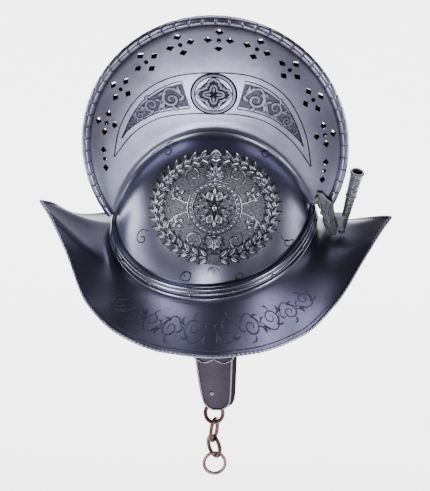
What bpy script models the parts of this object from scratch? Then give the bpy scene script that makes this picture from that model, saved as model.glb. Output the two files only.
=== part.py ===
"""A comb morion: a hollow steel skull drawn up into a tall pierced comb, a boat-shaped brim,
a fluted cordon with rivets, two relief medallions, a plume holder, two cheek pieces and a chain.

Metres, +Z up. The front of the helmet looks along -X and the wearer's left side along -Y.
The origin is the centre of the head opening, level with the skull's lower rim at the sides.
"""

import math

import bmesh
import bpy
from mathutils import Matrix, Vector

# Skull: an ellipsoid cut off by a boat-shaped ring that rises to the front and the rear
SKULL_X = 0.0013
SKULL_CENTRE_Z = -0.006
SKULL_HALF_LENGTH = 0.1030
SKULL_HALF_WIDTH = 0.0950
SKULL_HEIGHT = 0.1390
WALL = 0.0015
RING_SIDE_Z = 0.0105
RING_RISE = 0.0140
RING_END_LIFT = 0.0077
RING_REAR_TILT = 0.0112
SKIRT_TOP = 0.0090
SKIRT_BOTTOM = 0.0105

# Comb: two flat flanks under one tall elliptical crest
COMB_X = 0.0010
COMB_CENTRE_Z = 0.1090
COMB_HALF_LENGTH = 0.1295
COMB_HALF_HEIGHT = 0.1435
COMB_ROOT_HALF_WIDTH = 0.0060
COMB_EDGE_HALF_WIDTH = 0.0035
COMB_FILLET = 0.0080
COMB_REAR_ANGLE = math.radians(-23.5)
COMB_FRONT_ANGLE = math.radians(180 + 33.0)

# Rolled rim along the crest, cut across like a rope
ROPE_RADIUS = 0.0042
ROPE_CUT_DEPTH = 0.0006
ROPE_SEGMENTS = 28

GAP = 0.0003

# Piercings: crosses of four lozenges round a dot, and a short column at each end
PIERCED_GROUPS = 11
PIERCED_STEP = math.radians(19.1)
PIERCED_MIDDLE = math.radians(88.0)
PIERCED_INSET = 0.0225
LOZENGE_LENGTH = 0.0080
LOZENGE_WIDTH = 0.0056
LOZENGE_TANGENT = 0.0102
LOZENGE_RADIAL = 0.0082
DOT_RADIUS = 0.0019
DOT_SIDES = 6

# Brim: a boat-shaped sheet that hangs at the sides and comes to a beak at each end
BRIM_HALF_LENGTH = 0.1754
BRIM_HALF_WIDTH = 0.1305
BRIM_SIDE_Z = -0.0390
BRIM_FRONT_RISE = 0.0862
BRIM_REAR_RISE = 0.0765
BRIM_SHEET = 0.0015
BRIM_RIM_RAISE = 0.0009
BRIM_RIM_WIDTH = 0.0032
COLLAR_TOP = 0.0068
COLLAR_BOTTOM = 0.0085
# Shape of the sheet between collar and edge, as shares of its own reach or of a beak's rise
BRIM_ROOT_REACH = 0.06
BRIM_ROOT_DROP = 0.27
BRIM_ROOT_END_DROP = 0.12
BRIM_EDGE_REACH = 0.42
BRIM_EDGE_END_REACH = 0.08
BRIM_EDGE_RISE = 0.34
BRIM_KEEL_SAG = 0.385
BRIM_KEEL_POWER = 4
BRIM_SLOPE_STEP = 0.02
BRIM_END_SPAN = 0.02
# Rows run from the middle of the side to the beak. Each is a share: station of the half length,
# half width of the brim's, and rise of the beak's rise over the side.
BRIM_FRONT = (
    # station, width, rise
    (0.00, 1.000, 0.000),
    (0.25, 0.956, 0.000),
    (0.50, 0.826, 0.064),
    (0.70, 0.592, 0.226),
    (0.85, 0.229, 0.594),
    (0.95, 0.070, 0.901),
    (1.00, 0.000, 1.000),
)
BRIM_REAR = (
    # station, width, rise
    (0.00, 1.000, 0.000),
    (0.25, 0.936, 0.000),
    (0.50, 0.762, 0.043),
    (0.70, 0.523, 0.291),
    (0.85, 0.254, 0.657),
    (0.95, 0.080, 0.903),
    (1.00, 0.000, 1.000),
)

# Cordon: a fluted strip round the collar. Rows are its profile: outward share of the flute's
# depth and height share of half its width.
CORDON_HALF_WIDTH = 0.0080
CORDON_THICKNESS = 0.0009
CORDON_FLUTE = 0.0016
CORDON_PROFILE = (
    # outward, height
    (0.20, -1.00),
    (1.00, -0.70),
    (0.10, -0.34),
    (0.75, 0.00),
    (0.10, 0.34),
    (1.00, 0.70),
    (0.20, 1.00),
)
RIVET_COUNT = 16
RIVET_RADIUS = 0.0018
RIVET_HEIGHT = 0.0011

# Side medallion: an oval relief plaque of a leaf wreath round a rosette
MEDALLION_X = 0.0020
MEDALLION_AXIS_RISE = math.radians(36.0)
MEDALLION_CENTRE_UP = 0.0325
MEDALLION_HALF_LENGTH = 0.0630
MEDALLION_HALF_HEIGHT = 0.0540
MEDALLION_PLATE = 0.0010
MEDALLION_SEAT = 0.0007
MEDALLION_RELIEF = 0.0018
WREATH_LEAVES = 16
ROSETTE_PETALS = 8
# Rows run from the middle to the rim: radius share, plain height share, petal and leaf shares
MEDALLION_RINGS = (
    # radius, height, petal, leaf
    (0.09, 1.00, 0.0, 0.0),
    (0.22, 0.20, 0.3, 0.0),
    (0.40, 0.55, 0.45, 0.0),
    (0.60, 0.10, 0.1, 0.0),
    (0.68, 0.75, 0.0, 0.0),
    (0.83, 0.60, 0.0, 0.4),
    (0.97, 0.15, 0.0, 0.15),
)

# Plume holder: a conical tube on a leaf-shaped cast clip that straddles the comb's rear end.
# The tube stands behind that end and over the brim; the clip's place is measured from the
# rear end of the cordon's middle line.
TUBE_FOOT_BACK = 0.0087
TUBE_OVER_BRIM = 0.0041
TUBE_RUN = Vector((0.0115, 0.0, 0.0730))
TUBE_FOOT_RADIUS = 0.0028
TUBE_MOUTH_RADIUS = 0.0066
TUBE_WALL = 0.0013
TUBE_BORE_DEPTH = 0.0550
BORE_PAST_MOUTH = 0.0020
TUBE_SIDES = 16
CLIP_THICKNESS = 0.0022
CLIP_WEB_BACK = 0.0130
CLIP_WEB_INTO_TUBE = 0.0015
CLIP_WEB_DOWN = (0.0465, 0.0290)
CLIP_LENGTH = 0.0480
CLIP_TOP = Vector((0.0069, 0.0, 0.0246))
# Rows go round the leaf from its top: rearward and downward shares of the clip's length
CLIP_LEAF = (
    # back, down
    (0.00, 0.00),
    (0.10, 0.02),
    (0.19, 0.14),
    (0.29, 0.22),
    (0.34, 0.40),
    (0.36, 0.60),
    (0.42, 0.84),
    (0.40, 0.97),
    (0.30, 0.96),
    (0.20, 0.82),
    (0.13, 0.66),
    (0.13, 0.52),
    (0.07, 0.47),
    (0.10, 0.38),
    (0.02, 0.31),
    (0.06, 0.21),
    (-0.03, 0.14),
    (0.02, 0.08),
)

# Cheek pieces: a leather strap with a scalloped upper lame and a lower plate on it
CHEEK_X = 0.0040
STRAP_OUTER_Y = 0.0905
STRAP_TOP_HALF_WIDTH = 0.0120
STRAP_THICKNESS = 0.0025
STRAP_TOP_Z = 0.0180
STRAP_REAR_OVERHANG = 0.0030
PLATE_SHEET = 0.0013
PLATE_TOP_Z = -0.0680
PLATE_BOTTOM_Z = -0.1360
PLATE_HALF_WIDTH = 0.0190
PLATE_BULGE = 0.0022
PLATE_STAND_OFF_TOP = 0.0004
PLATE_STAND_OFF_BOTTOM = 0.0052
LAME_TOP_Z = -0.0060
LAME_BOTTOM_Z = -0.0760
LAME_SCALLOP = 0.0050
LAME_FRONT = -1.06
LAME_REAR = 1.04
# Rows run down the plate: depth share, and the front and rear edges as shares of its half width
CHEEK_OUTLINE = (
    # depth, front, rear
    (0.00, -1.04, 1.00),
    (0.30, -0.93, 0.98),
    (0.55, -0.82, 0.96),
    (0.75, -0.70, 0.94),
    (0.88, -0.58, 0.88),
    (0.96, -0.36, 0.72),
    (1.00, -0.10, 0.45),
)
CHEEK_RIVET_X = 0.0020
CHEEK_RIVET_Z = -0.1160
CHEEK_RIVET_RADIUS = 0.0026
CHEEK_SHANK_RADIUS = 0.0013
CHEEK_RIVET_SIDES = 6
# Rows run from the middle of the head to the burr: radius share of the head's, height over the face
CHEEK_RIVET_HEAD = ((0.55, 0.0017), (1.00, 0.0007), (1.00, 0.0004))
BURR_RADIUS = 0.0024
BURR_THICKNESS = 0.0007
HANGER_Z = -0.1340
HANGER_RADIUS = 0.0014
STRAP_RIVET_Z = 0.0080
STRAP_RIVET_SPREAD = 0.0070

# Chain: three links and a ring that hang from the left cheek piece, and a hook on the right
WIRE = 0.0032
LINK_PLAY = 0.0003
LINK_STATIONS = 12
LINK_LENGTH = 0.0295
LINK_WIDTH = 0.0205
LINK_TURNS = (math.radians(0.0), math.radians(70.0), math.radians(-46.0))
RING_OUTER_RADIUS = 0.0126
RING_WIRE = 0.0029
RING_TILT = math.radians(28.0)
RING_TURN = math.radians(8.0)
RING_STATIONS = 16
HOOK_WIRE = 0.0024
HOOK_BEND = 0.0050
HOOK_DROP = 0.0190
HOOK_EYE_POINTS = 8
HOOK_BEND_POINTS = 7

ROUND_STATIONS = 46
SKULL_ROWS = 5
CHEEK_COLUMNS = 4
FILLET_ROWS = 2
BRIM_ROWS = 4


def clear_scene():
    for thing in list(bpy.data.objects):
        bpy.data.objects.remove(thing, do_unlink=True)
    for name in ("morion", "cutters"):
        old = bpy.data.collections.get(name)
        if old:
            bpy.data.collections.remove(old)


def new_collection(name):
    made = bpy.data.collections.new(name)
    bpy.context.scene.collection.children.link(made)
    return made


def new_material(name, colour, roughness, metallic):
    made = bpy.data.materials.new(name)
    made.use_nodes = True
    shader = made.node_tree.nodes["Principled BSDF"]
    shader.inputs["Base Color"].default_value = (*colour, 1.0)
    shader.inputs["Roughness"].default_value = roughness
    shader.inputs["Metallic"].default_value = metallic
    return made


def add_object(name, data, material, collection):
    made = bpy.data.objects.new(name, data)
    collection.objects.link(made)
    if material:
        data.materials.clear()
        data.materials.append(material)
    return made


def mesh_from(bm, name, smooth=35.0):
    """Merges doubled points, turns the faces outwards and returns the mesh."""
    bmesh.ops.remove_doubles(bm, verts=bm.verts, dist=2e-6)
    bmesh.ops.recalc_face_normals(bm, faces=bm.faces)
    mesh = bpy.data.meshes.new(name)
    bm.to_mesh(mesh)
    bm.free()
    mesh.shade_smooth()
    mesh.set_sharp_from_angle(angle=math.radians(smooth))
    return mesh


def add_grid(bm, rows, closed_columns=False, closed_rows=False):
    """Adds a skin over rows of points. Rows all have the same length."""
    made = [[bm.verts.new(point) for point in row] for row in rows]
    last_row = len(made) if closed_rows else len(made) - 1
    columns = len(made[0])
    last_column = columns if closed_columns else columns - 1
    for i in range(last_row):
        here, above = made[i], made[(i + 1) % len(made)]
        for j in range(last_column):
            k = (j + 1) % columns
            bm.faces.new((here[j], here[k], above[k], above[j]))
    return made


def add_wire(name, points, radius, material, collection, closed=False, swell=None):
    """A wire along points. swell holds a share of the radius for each point."""
    curve = bpy.data.curves.new(name, "CURVE")
    curve.dimensions = "3D"
    curve.bevel_depth = radius
    curve.bevel_resolution = 1
    curve.use_fill_caps = not closed
    spline = curve.splines.new("POLY")
    spline.points.add(len(points) - 1)
    for k, point in enumerate(points):
        spline.points[k].co = (*point, 1.0)
        spline.points[k].radius = swell[k] if swell else 1.0
    spline.use_cyclic_u = closed
    return add_object(name, curve, material, collection)


def cut_away(target, cutter):
    modifier = target.modifiers.new("cut_" + cutter.name, "BOOLEAN")
    modifier.operation = "DIFFERENCE"
    modifier.object = cutter
    hide_cutter(cutter)


def join_to(target, other):
    modifier = target.modifiers.new("join_" + other.name, "BOOLEAN")
    modifier.operation = "UNION"
    modifier.object = other
    hide_cutter(other)


def hide_cutter(thing):
    thing.hide_render = True
    thing.display_type = "WIRE"


def table_value(table, station, column):
    """Reads a table of shares with a smooth curve that never overshoots its rows."""
    for k in range(len(table) - 1):
        if station <= table[k + 1][0] or k == len(table) - 2:
            break

    def slope(i):
        if i in (0, len(table) - 1):
            near = 1 if i == 0 else len(table) - 2
            end = abs(table[near][column] - table[i][column]) / abs(table[near][0] - table[i][0])
            rising = (table[near][column] - table[i][column]) * (table[near][0] - table[i][0]) > 0
            return 0.0 if i == 0 else (end if rising else -end)
        left = (table[i][column] - table[i - 1][column]) / (table[i][0] - table[i - 1][0])
        right = (table[i + 1][column] - table[i][column]) / (table[i + 1][0] - table[i][0])
        return 0.0 if left * right <= 0 else 2 * left * right / (left + right)

    width = table[k + 1][0] - table[k][0]
    t = (station - table[k][0]) / width
    a, b = table[k][column], table[k + 1][column]
    m, n = slope(k) * width, slope(k + 1) * width
    t2, t3 = t * t, t * t * t
    return a * (2 * t3 - 3 * t2 + 1) + m * (t3 - 2 * t2 + t) + b * (3 * t2 - 2 * t3) + n * (t3 - t2)


def ring_height(along):
    """Height of the cordon's middle line. along is -1 at the front and 1 at the rear."""
    rise = RING_RISE * along**2 + RING_END_LIFT * along**4
    return RING_SIDE_Z + rise + RING_REAR_TILT * along


def ring_point(turn, lift, outward):
    """A point on the skull's outline at a plan angle, lifted from the cordon's middle line."""
    z = ring_height(math.cos(turn)) + lift
    share = math.sqrt(1 - ((z - SKULL_CENTRE_Z) / SKULL_HEIGHT) ** 2)
    x = SKULL_X + (SKULL_HALF_LENGTH * share + outward) * math.cos(turn)
    y = -(SKULL_HALF_WIDTH * share + outward) * math.sin(turn)
    return Vector((x, y, z))


def crest_point(angle, inset):
    """A point of the mid-plane at an angle on the comb's ellipse, inset from its outer edge."""
    x = COMB_X + (COMB_HALF_LENGTH - inset) * math.cos(angle)
    return Vector((x, 0.0, COMB_CENTRE_Z + (COMB_HALF_HEIGHT - inset) * math.sin(angle)))


def skull_section(share, inset):
    """Points from the skirt's top up the left side of the skull and the comb to its crest.

    share runs from 0 at the rear to 1 at the front. inset is 0 outside and WALL inside."""
    turn = math.pi * share
    foot = ring_point(turn, SKIRT_TOP + inset, -inset)
    length, width = SKULL_HALF_LENGTH - inset, SKULL_HALF_WIDTH - inset
    height = SKULL_HEIGHT - inset
    root_half = COMB_ROOT_HALF_WIDTH - inset
    edge_half = COMB_EDGE_HALF_WIDTH - inset
    along = max(-1.0, min(1.0, (foot.x - SKULL_X) / length))
    across = math.sqrt(1 - along**2)
    top_z = SKULL_CENTRE_Z + height * across
    crown = Vector((foot.x, -root_half, max(top_z, foot.z)))
    inner_crest = 2 * ROPE_RADIUS + GAP + inset
    front, rear = COMB_FRONT_ANGLE - inset / COMB_HALF_LENGTH, COMB_REAR_ANGLE + inset / COMB_HALF_LENGTH
    crest = crest_point(rear + (front - rear) * share, inner_crest)
    crest.y = -edge_half
    flank = crest - crown
    fillet = COMB_FILLET + inset
    rise_end = min(fillet, 0.5 * flank.length)
    flank_start = crown + flank.normalized() * rise_end
    points = []
    start = math.asin(min(1.0, (foot.z - SKULL_CENTRE_Z) / max(height * across, 1e-6)))
    reach = min(1.0, (root_half + fillet) / max(width * across, 1e-6))
    stop = max(start, math.acos(reach))
    for k in range(SKULL_ROWS + 1):
        lift = start + (stop - start) * k / SKULL_ROWS
        y = -max(width * across * math.cos(lift), root_half)
        points.append(Vector((foot.x, y, SKULL_CENTRE_Z + height * across * math.sin(lift))))
    arc_end = points[-1].copy()
    for k in range(1, FILLET_ROWS + 1):
        t = k / FILLET_ROWS
        points.append(arc_end * (1 - t) ** 2 + crown * (2 * t * (1 - t)) + flank_start * t**2)
    points.append(crest)
    return points


def skull_skin(bm, inset):
    """One closed side of the skull wall, outer or inner, open at the lower rim. Returns its rim."""
    stations = ROUND_STATIONS // 2
    shares = [k / stations for k in range(stations + 1)]
    left = [skull_section(share, inset) for share in shares]
    right = [[Vector((p.x, -p.y, p.z)) for p in row] for row in left]
    add_grid(bm, left)
    add_grid(bm, right)
    add_grid(bm, [[row[-1] for row in left], [row[-1] for row in right]])
    for end in (0, -1):
        add_grid(bm, [left[end][SKULL_ROWS:], right[end][SKULL_ROWS:]])
    loop = [row[0] for row in left] + [row[0] for row in reversed(right)]
    half = COMB_ROOT_HALF_WIDTH - inset
    lower = []
    ring = [ring_point(math.pi * share, -SKIRT_BOTTOM, -inset) for share in shares]
    ring = [Vector((p.x, -max(-p.y, half), p.z)) for p in ring]
    lower.append(ring + [Vector((p.x, -p.y, p.z)) for p in reversed(ring)])
    add_grid(bm, [loop, *lower], closed_columns=True)
    return lower[-1]


def make_skull(material, parts, cutters):
    bm = bmesh.new()
    outer_rim = skull_skin(bm, 0.0)
    inner_rim = skull_skin(bm, WALL)
    add_grid(bm, [outer_rim, inner_rim], closed_columns=True)
    skull = add_object("skull", mesh_from(bm, "skull"), material, parts)
    cut_away(skull, make_piercings(cutters))
    return skull


def make_piercings(cutters):
    """Prisms across the comb: lozenges long in the direction of the crest, and round dots."""
    bm = bmesh.new()
    reach = 2 * COMB_ROOT_HALF_WIDTH
    middle = (PIERCED_GROUPS - 1) // 2
    for group in range(PIERCED_GROUPS):
        angle = PIERCED_MIDDLE + (group - middle) * PIERCED_STEP
        centre = crest_point(angle, PIERCED_INSET)
        ahead = crest_point(angle + 0.01, PIERCED_INSET) - centre
        tangent = ahead.normalized()
        radial = Vector((tangent.z, 0.0, -tangent.x))
        add_prism(bm, centre, tangent, radial, DOT_RADIUS, DOT_RADIUS, DOT_SIDES, reach)
        places = [(1, 0), (-1, 0)]
        if abs(group - middle) < middle:
            places += [(0, 1), (0, -1)]
        for side, out in places:
            spot = centre + tangent * (side * LOZENGE_TANGENT) + radial * (out * LOZENGE_RADIAL)
            add_prism(bm, spot, tangent, radial, LOZENGE_LENGTH / 2, LOZENGE_WIDTH / 2, 4, reach)
    return add_object("piercings", mesh_from(bm, "piercings"), None, cutters)


def add_prism(bm, centre, across, up, half_length, half_width, sides, reach):
    """A prism along Y whose section has its corners on an ellipse."""
    rows = []
    for y in (-reach, reach):
        row = []
        for k in range(sides):
            turn = 2 * math.pi * k / sides
            offset = across * (half_length * math.cos(turn)) + up * (half_width * math.sin(turn))
            row.append(bm.verts.new(centre + offset + Vector((0.0, y, 0.0))))
        rows.append(row)
    for k in range(sides):
        j = (k + 1) % sides
        bm.faces.new((rows[0][k], rows[0][j], rows[1][j], rows[1][k]))
    bm.faces.new(rows[0])
    bm.faces.new(rows[1])


def make_rope(material, parts):
    """The rolled rim: a wire along the crest, nipped in at each cut."""
    count = 2 * ROPE_SEGMENTS
    step = (COMB_FRONT_ANGLE - COMB_REAR_ANGLE) / count
    points = [crest_point(COMB_REAR_ANGLE + step * k, ROPE_RADIUS) for k in range(count + 1)]
    nipped = 1 - ROPE_CUT_DEPTH / ROPE_RADIUS
    swell = [nipped if k % 2 == 0 else 1.0 for k in range(count + 1)]
    add_wire("comb_rope", points, ROPE_RADIUS, material, parts, swell=swell)


def brim_edge(turn):
    """The brim's outer edge at a plan angle: 0 is the rear beak and pi the front one."""
    along = math.cos(turn)
    table, rise = (BRIM_REAR, BRIM_REAR_RISE) if along > 0 else (BRIM_FRONT, BRIM_FRONT_RISE)
    width = BRIM_HALF_WIDTH * table_value(table, abs(along), 1)
    side = -1 if math.sin(turn) > 0 else 1
    z = BRIM_SIDE_Z + rise * table_value(table, abs(along), 2)
    return Vector((SKULL_X + BRIM_HALF_LENGTH * along, side * width, z))


def brim_curve(turn, share):
    """A point of the brim's upper surface from its collar, share 0, to its edge, share 1."""
    root = ring_point(turn, -COLLAR_BOTTOM, 2 * GAP + BRIM_SHEET)
    edge = brim_edge(turn)
    out = Vector((edge.x - root.x, edge.y - root.y, 0.0))
    endward = abs(math.cos(turn)) ** BRIM_KEEL_POWER
    steep = root + out * BRIM_ROOT_REACH
    steep.z = root.z - (BRIM_ROOT_DROP + BRIM_ROOT_END_DROP * endward) * out.length
    flat = edge - out * (BRIM_EDGE_REACH + BRIM_EDGE_END_REACH * endward)
    side_z = edge.z + (root.z - edge.z) * BRIM_EDGE_RISE
    flat.z = side_z + (edge.z - BRIM_KEEL_SAG * BRIM_FRONT_RISE - side_z) * endward
    t = share
    return (
        root * (1 - t) ** 3 + steep * (3 * t * (1 - t) ** 2) + flat * (3 * t**2 * (1 - t)) + edge * t**3
    )


def brim_rows(turn):
    """One closed section of the brim: collar, sheet and raised rim, above and below."""
    edge = brim_edge(turn)
    near = brim_curve(turn, 0.9)
    span = max((edge - near).length / 0.1, BRIM_END_SPAN)
    rim = BRIM_RIM_WIDTH / span
    shares = [k / BRIM_ROWS * (1 - rim) for k in range(BRIM_ROWS + 1)]
    upper = [ring_point(turn, COLLAR_TOP, 2 * GAP + BRIM_SHEET)]
    lower = [ring_point(turn, COLLAR_TOP, 2 * GAP)]
    for k, share in enumerate(shares):
        point = brim_curve(turn, share)
        before = brim_curve(turn, max(0.0, share - BRIM_SLOPE_STEP))
        slope = brim_curve(turn, min(1.0, share + BRIM_SLOPE_STEP)) - before
        side = Vector((slope.x, slope.y, 0.0))
        drop = Vector((-side.x * -slope.z, -side.y * -slope.z, -side.length_squared))
        drop = drop.normalized() if side.length > 1e-9 else Vector((0, 0, -1))
        if k == 0:
            drop = Vector((-side.x, -side.y, 0.0)).normalized()
        upper.append(point)
        lower.append(point + drop * BRIM_SHEET)
    raise_by = Vector((0, 0, BRIM_RIM_RAISE))
    before = brim_curve(turn, 1 - rim * 0.8)
    after = brim_curve(turn, 1 - rim * 0.2)
    sheet = Vector((0, 0, BRIM_SHEET))
    upper += [before + raise_by, after + raise_by]
    lower += [before - sheet - raise_by, after - sheet - raise_by]
    middle = edge - sheet * 0.5
    return upper + [middle] + lower[::-1]


def make_brim(material, parts):
    bm = bmesh.new()
    rows = [brim_rows(2 * math.pi * k / ROUND_STATIONS) for k in range(ROUND_STATIONS)]
    add_grid(bm, rows, closed_columns=True, closed_rows=True)
    add_object("brim", mesh_from(bm, "brim"), material, parts)


def cordon_offset(row):
    """How far a row of the cordon's profile stands off the skull."""
    return 3 * GAP + BRIM_SHEET + CORDON_THICKNESS + CORDON_FLUTE * row[0]


def make_cordon(material, parts):
    """The fluted strip. Its top edge turns in over the collar to the skull."""
    bm = bmesh.new()
    rows = []
    back = 3 * GAP + BRIM_SHEET
    over = COLLAR_TOP + GAP
    lip = ((CORDON_HALF_WIDTH, 2 * GAP), (over, 2 * GAP), (over, back), (-CORDON_HALF_WIDTH, back))
    for k in range(ROUND_STATIONS):
        turn = 2 * math.pi * k / ROUND_STATIONS
        row = [ring_point(turn, CORDON_HALF_WIDTH * p[1], cordon_offset(p)) for p in CORDON_PROFILE]
        row += [ring_point(turn, lift, outward) for lift, outward in lip]
        rows.append(row)
    add_grid(bm, rows, closed_columns=True, closed_rows=True)
    add_object("cordon_band", mesh_from(bm, "cordon_band"), material, parts)


def add_dome(bm, radius, height, sides=6):
    """A low rivet head on the plane z = 0, about the Z axis."""
    rows = [
        [Vector((r * math.cos(a), r * math.sin(a), z)) for a in [2 * math.pi * k / sides for k in range(sides)]]
        for r, z in ((radius, 0.0), (radius, 0.25 * height), (0.6 * radius, height))
    ]
    made = add_grid(bm, rows, closed_columns=True)
    bm.faces.new(made[0])
    bm.faces.new(made[-1])


def place_along(thing, point, direction):
    """Sets an object on a point with its Z axis along a direction."""
    thing.rotation_mode = "QUATERNION"
    thing.rotation_quaternion = direction.to_track_quat("Z", "Y")
    thing.location = point


def make_rivets(material, parts):
    bm = bmesh.new()
    add_dome(bm, RIVET_RADIUS, RIVET_HEIGHT)
    mesh = mesh_from(bm, "cordon_rivet")
    middle = CORDON_PROFILE[len(CORDON_PROFILE) // 2]
    for k in range(RIVET_COUNT):
        turn = 2 * math.pi * (k + 0.5) / RIVET_COUNT
        seat = ring_point(turn, 0.0, cordon_offset(middle) + GAP)
        out = Vector((math.cos(turn) / SKULL_HALF_LENGTH, -math.sin(turn) / SKULL_HALF_WIDTH, 0.0))
        rivet = add_object(f"cordon_rivet_{k + 1:02d}", mesh, material, parts)
        place_along(rivet, seat, out.normalized())


def on_skull(across, up, lift):
    """A point over the left side of the skull, seen along the medallion's axis."""
    axis = Vector((0.0, -math.cos(MEDALLION_AXIS_RISE), math.sin(MEDALLION_AXIS_RISE)))
    above = Vector((0.0, math.sin(MEDALLION_AXIS_RISE), math.cos(MEDALLION_AXIS_RISE)))
    start = Vector((SKULL_X + MEDALLION_X + across, 0.0, 0.0)) + above * (MEDALLION_CENTRE_UP + up)
    half = Vector((SKULL_HALF_LENGTH + lift, SKULL_HALF_WIDTH + lift, SKULL_HEIGHT + lift))
    base = start - Vector((SKULL_X, 0.0, SKULL_CENTRE_Z))
    a = sum((axis[k] / half[k]) ** 2 for k in range(3))
    b = 2 * sum(axis[k] * base[k] / half[k] ** 2 for k in range(3))
    c = sum((base[k] / half[k]) ** 2 for k in range(3)) - 1
    return start + axis * ((-b + math.sqrt(b * b - 4 * a * c)) / (2 * a))


def make_medallions(material, parts):
    """An oval plaque on the skull: a rosette in the middle and leaves round the rim."""
    sectors = 2 * WREATH_LEAVES

    def ring(radius, lift_at):
        row = []
        for k in range(sectors):
            turn = 2 * math.pi * k / sectors
            across = MEDALLION_HALF_LENGTH * radius * math.cos(turn)
            up = MEDALLION_HALF_HEIGHT * radius * math.sin(turn)
            row.append(on_skull(across, up, lift_at(turn)))
        return row

    rows = []
    for radius, height, petal, leaf in MEDALLION_RINGS:

        def lift_at(turn):
            share = height + petal * math.cos(ROSETTE_PETALS * turn) + leaf * math.cos(WREATH_LEAVES * turn)
            return MEDALLION_SEAT + MEDALLION_PLATE + MEDALLION_RELIEF * max(0.0, min(1.0, share))

        rows.append(ring(radius, lift_at))
    rows.append(ring(1.0, lambda turn: MEDALLION_SEAT + 0.5 * MEDALLION_PLATE))
    for radius in (0.99, 0.76, 0.52, 0.27):
        rows.append(ring(radius, lambda turn: MEDALLION_SEAT))
    bm = bmesh.new()
    made = add_grid(bm, rows, closed_columns=True)
    for edge, lift in ((made[0], MEDALLION_SEAT + MEDALLION_PLATE + MEDALLION_RELIEF), (made[-1], MEDALLION_SEAT)):
        centre = bm.verts.new(on_skull(0.0, 0.0, lift))
        for k in range(sectors):
            bm.faces.new((edge[k], edge[(k + 1) % sectors], centre))
    left = mesh_from(bm, "medallion_left", 50.0)
    add_object("medallion_left", left, material, parts)
    add_object("medallion_right", mirrored(left, "medallion_right"), material, parts)


def mirrored(mesh, name):
    """A copy of a mesh on the other side of the helmet, with its faces turned back outwards."""
    bm = bmesh.new()
    bm.from_mesh(mesh)
    bmesh.ops.scale(bm, vec=Vector((1, -1, 1)), verts=bm.verts)
    return mesh_from(bm, name, 50.0)


def add_plate(bm, outline, front_y, back_y):
    """A flat plate in the XZ plane between two Y values."""
    rows = [[Vector((x, y, z)) for x, z in outline] for y in (front_y, back_y)]
    made = add_grid(bm, rows, closed_columns=True)
    bm.faces.new(made[0])
    bm.faces.new(made[1])


def brim_height_at(x):
    """Height of the brim's upper surface on its rear middle line."""
    steps = 60
    points = [brim_curve(0.0, k / steps) for k in range(steps + 1)]
    for near, far in zip(points, points[1:]):
        if near.x <= x <= far.x:
            return near.z + (far.z - near.z) * (x - near.x) / (far.x - near.x)
    return points[-1].z


def make_plume_holder(material, parts, cutters):
    foot = crest_point(COMB_REAR_ANGLE, 0.0)
    foot.x += TUBE_FOOT_BACK
    foot.z = brim_height_at(foot.x) + TUBE_OVER_BRIM
    mouth = foot + TUBE_RUN
    axis = TUBE_RUN.normalized()
    length = TUBE_RUN.length
    bm = bmesh.new()
    bmesh.ops.create_cone(
        bm,
        cap_ends=True,
        segments=TUBE_SIDES,
        radius1=TUBE_FOOT_RADIUS,
        radius2=TUBE_MOUTH_RADIUS,
        depth=length,
    )
    tube = add_object("plume_holder", mesh_from(bm, "plume_holder"), material, parts)
    place_along(tube, (foot + mouth) / 2, axis)

    top = ring_point(0.0, 0.0, 0.0) + CLIP_TOP
    leaf = [(top.x + CLIP_LENGTH * p[0], top.z - CLIP_LENGTH * p[1]) for p in CLIP_LEAF]
    inner_half = COMB_ROOT_HALF_WIDTH
    outer_half = inner_half + CLIP_THICKNESS
    for name, inner, outer in (("left", -inner_half, -outer_half), ("right", inner_half, outer_half)):
        bm = bmesh.new()
        add_plate(bm, leaf, inner, outer)
        join_to(tube, add_object("clip_" + name, mesh_from(bm, "clip_" + name), None, cutters))
    bm = bmesh.new()
    x0, x1 = top.x + CLIP_WEB_BACK, foot.x + CLIP_WEB_INTO_TUBE
    z0, z1 = top.z - CLIP_WEB_DOWN[0], top.z - CLIP_WEB_DOWN[1]
    inside = outer_half - 0.5 * CLIP_THICKNESS
    add_plate(bm, [(x0, z0), (x1, z0), (x1, z1), (x0, z1)], -inside, inside)
    join_to(tube, add_object("clip_web", mesh_from(bm, "clip_web"), None, cutters))

    taper = (TUBE_MOUTH_RADIUS - TUBE_FOOT_RADIUS) / length
    mouth_bore = TUBE_MOUTH_RADIUS - TUBE_WALL
    past = BORE_PAST_MOUTH
    bm = bmesh.new()
    bmesh.ops.create_cone(
        bm,
        cap_ends=True,
        segments=TUBE_SIDES,
        radius1=mouth_bore - taper * TUBE_BORE_DEPTH,
        radius2=mouth_bore + taper * past,
        depth=TUBE_BORE_DEPTH + past,
    )
    bore = add_object("plume_bore", mesh_from(bm, "plume_bore"), None, cutters)
    place_along(bore, mouth + axis * ((past - TUBE_BORE_DEPTH) / 2), axis)
    cut_away(tube, bore)


def cheek_surface(depth_z, side_x, stand_off):
    """A point of a cheek piece over the left strap's outer face."""
    share = (side_x - CHEEK_X) / PLATE_HALF_WIDTH
    y = STRAP_OUTER_Y + stand_off + PLATE_BULGE * max(0.0, 1 - share * share)
    return Vector((side_x, -y, depth_z))


def stand_off_at(z):
    share = (PLATE_TOP_Z - z) / (PLATE_TOP_Z - PLATE_BOTTOM_Z)
    share = max(0.0, min(1.0, share))
    return PLATE_STAND_OFF_TOP + (PLATE_STAND_OFF_BOTTOM - PLATE_STAND_OFF_TOP) * share


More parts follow.
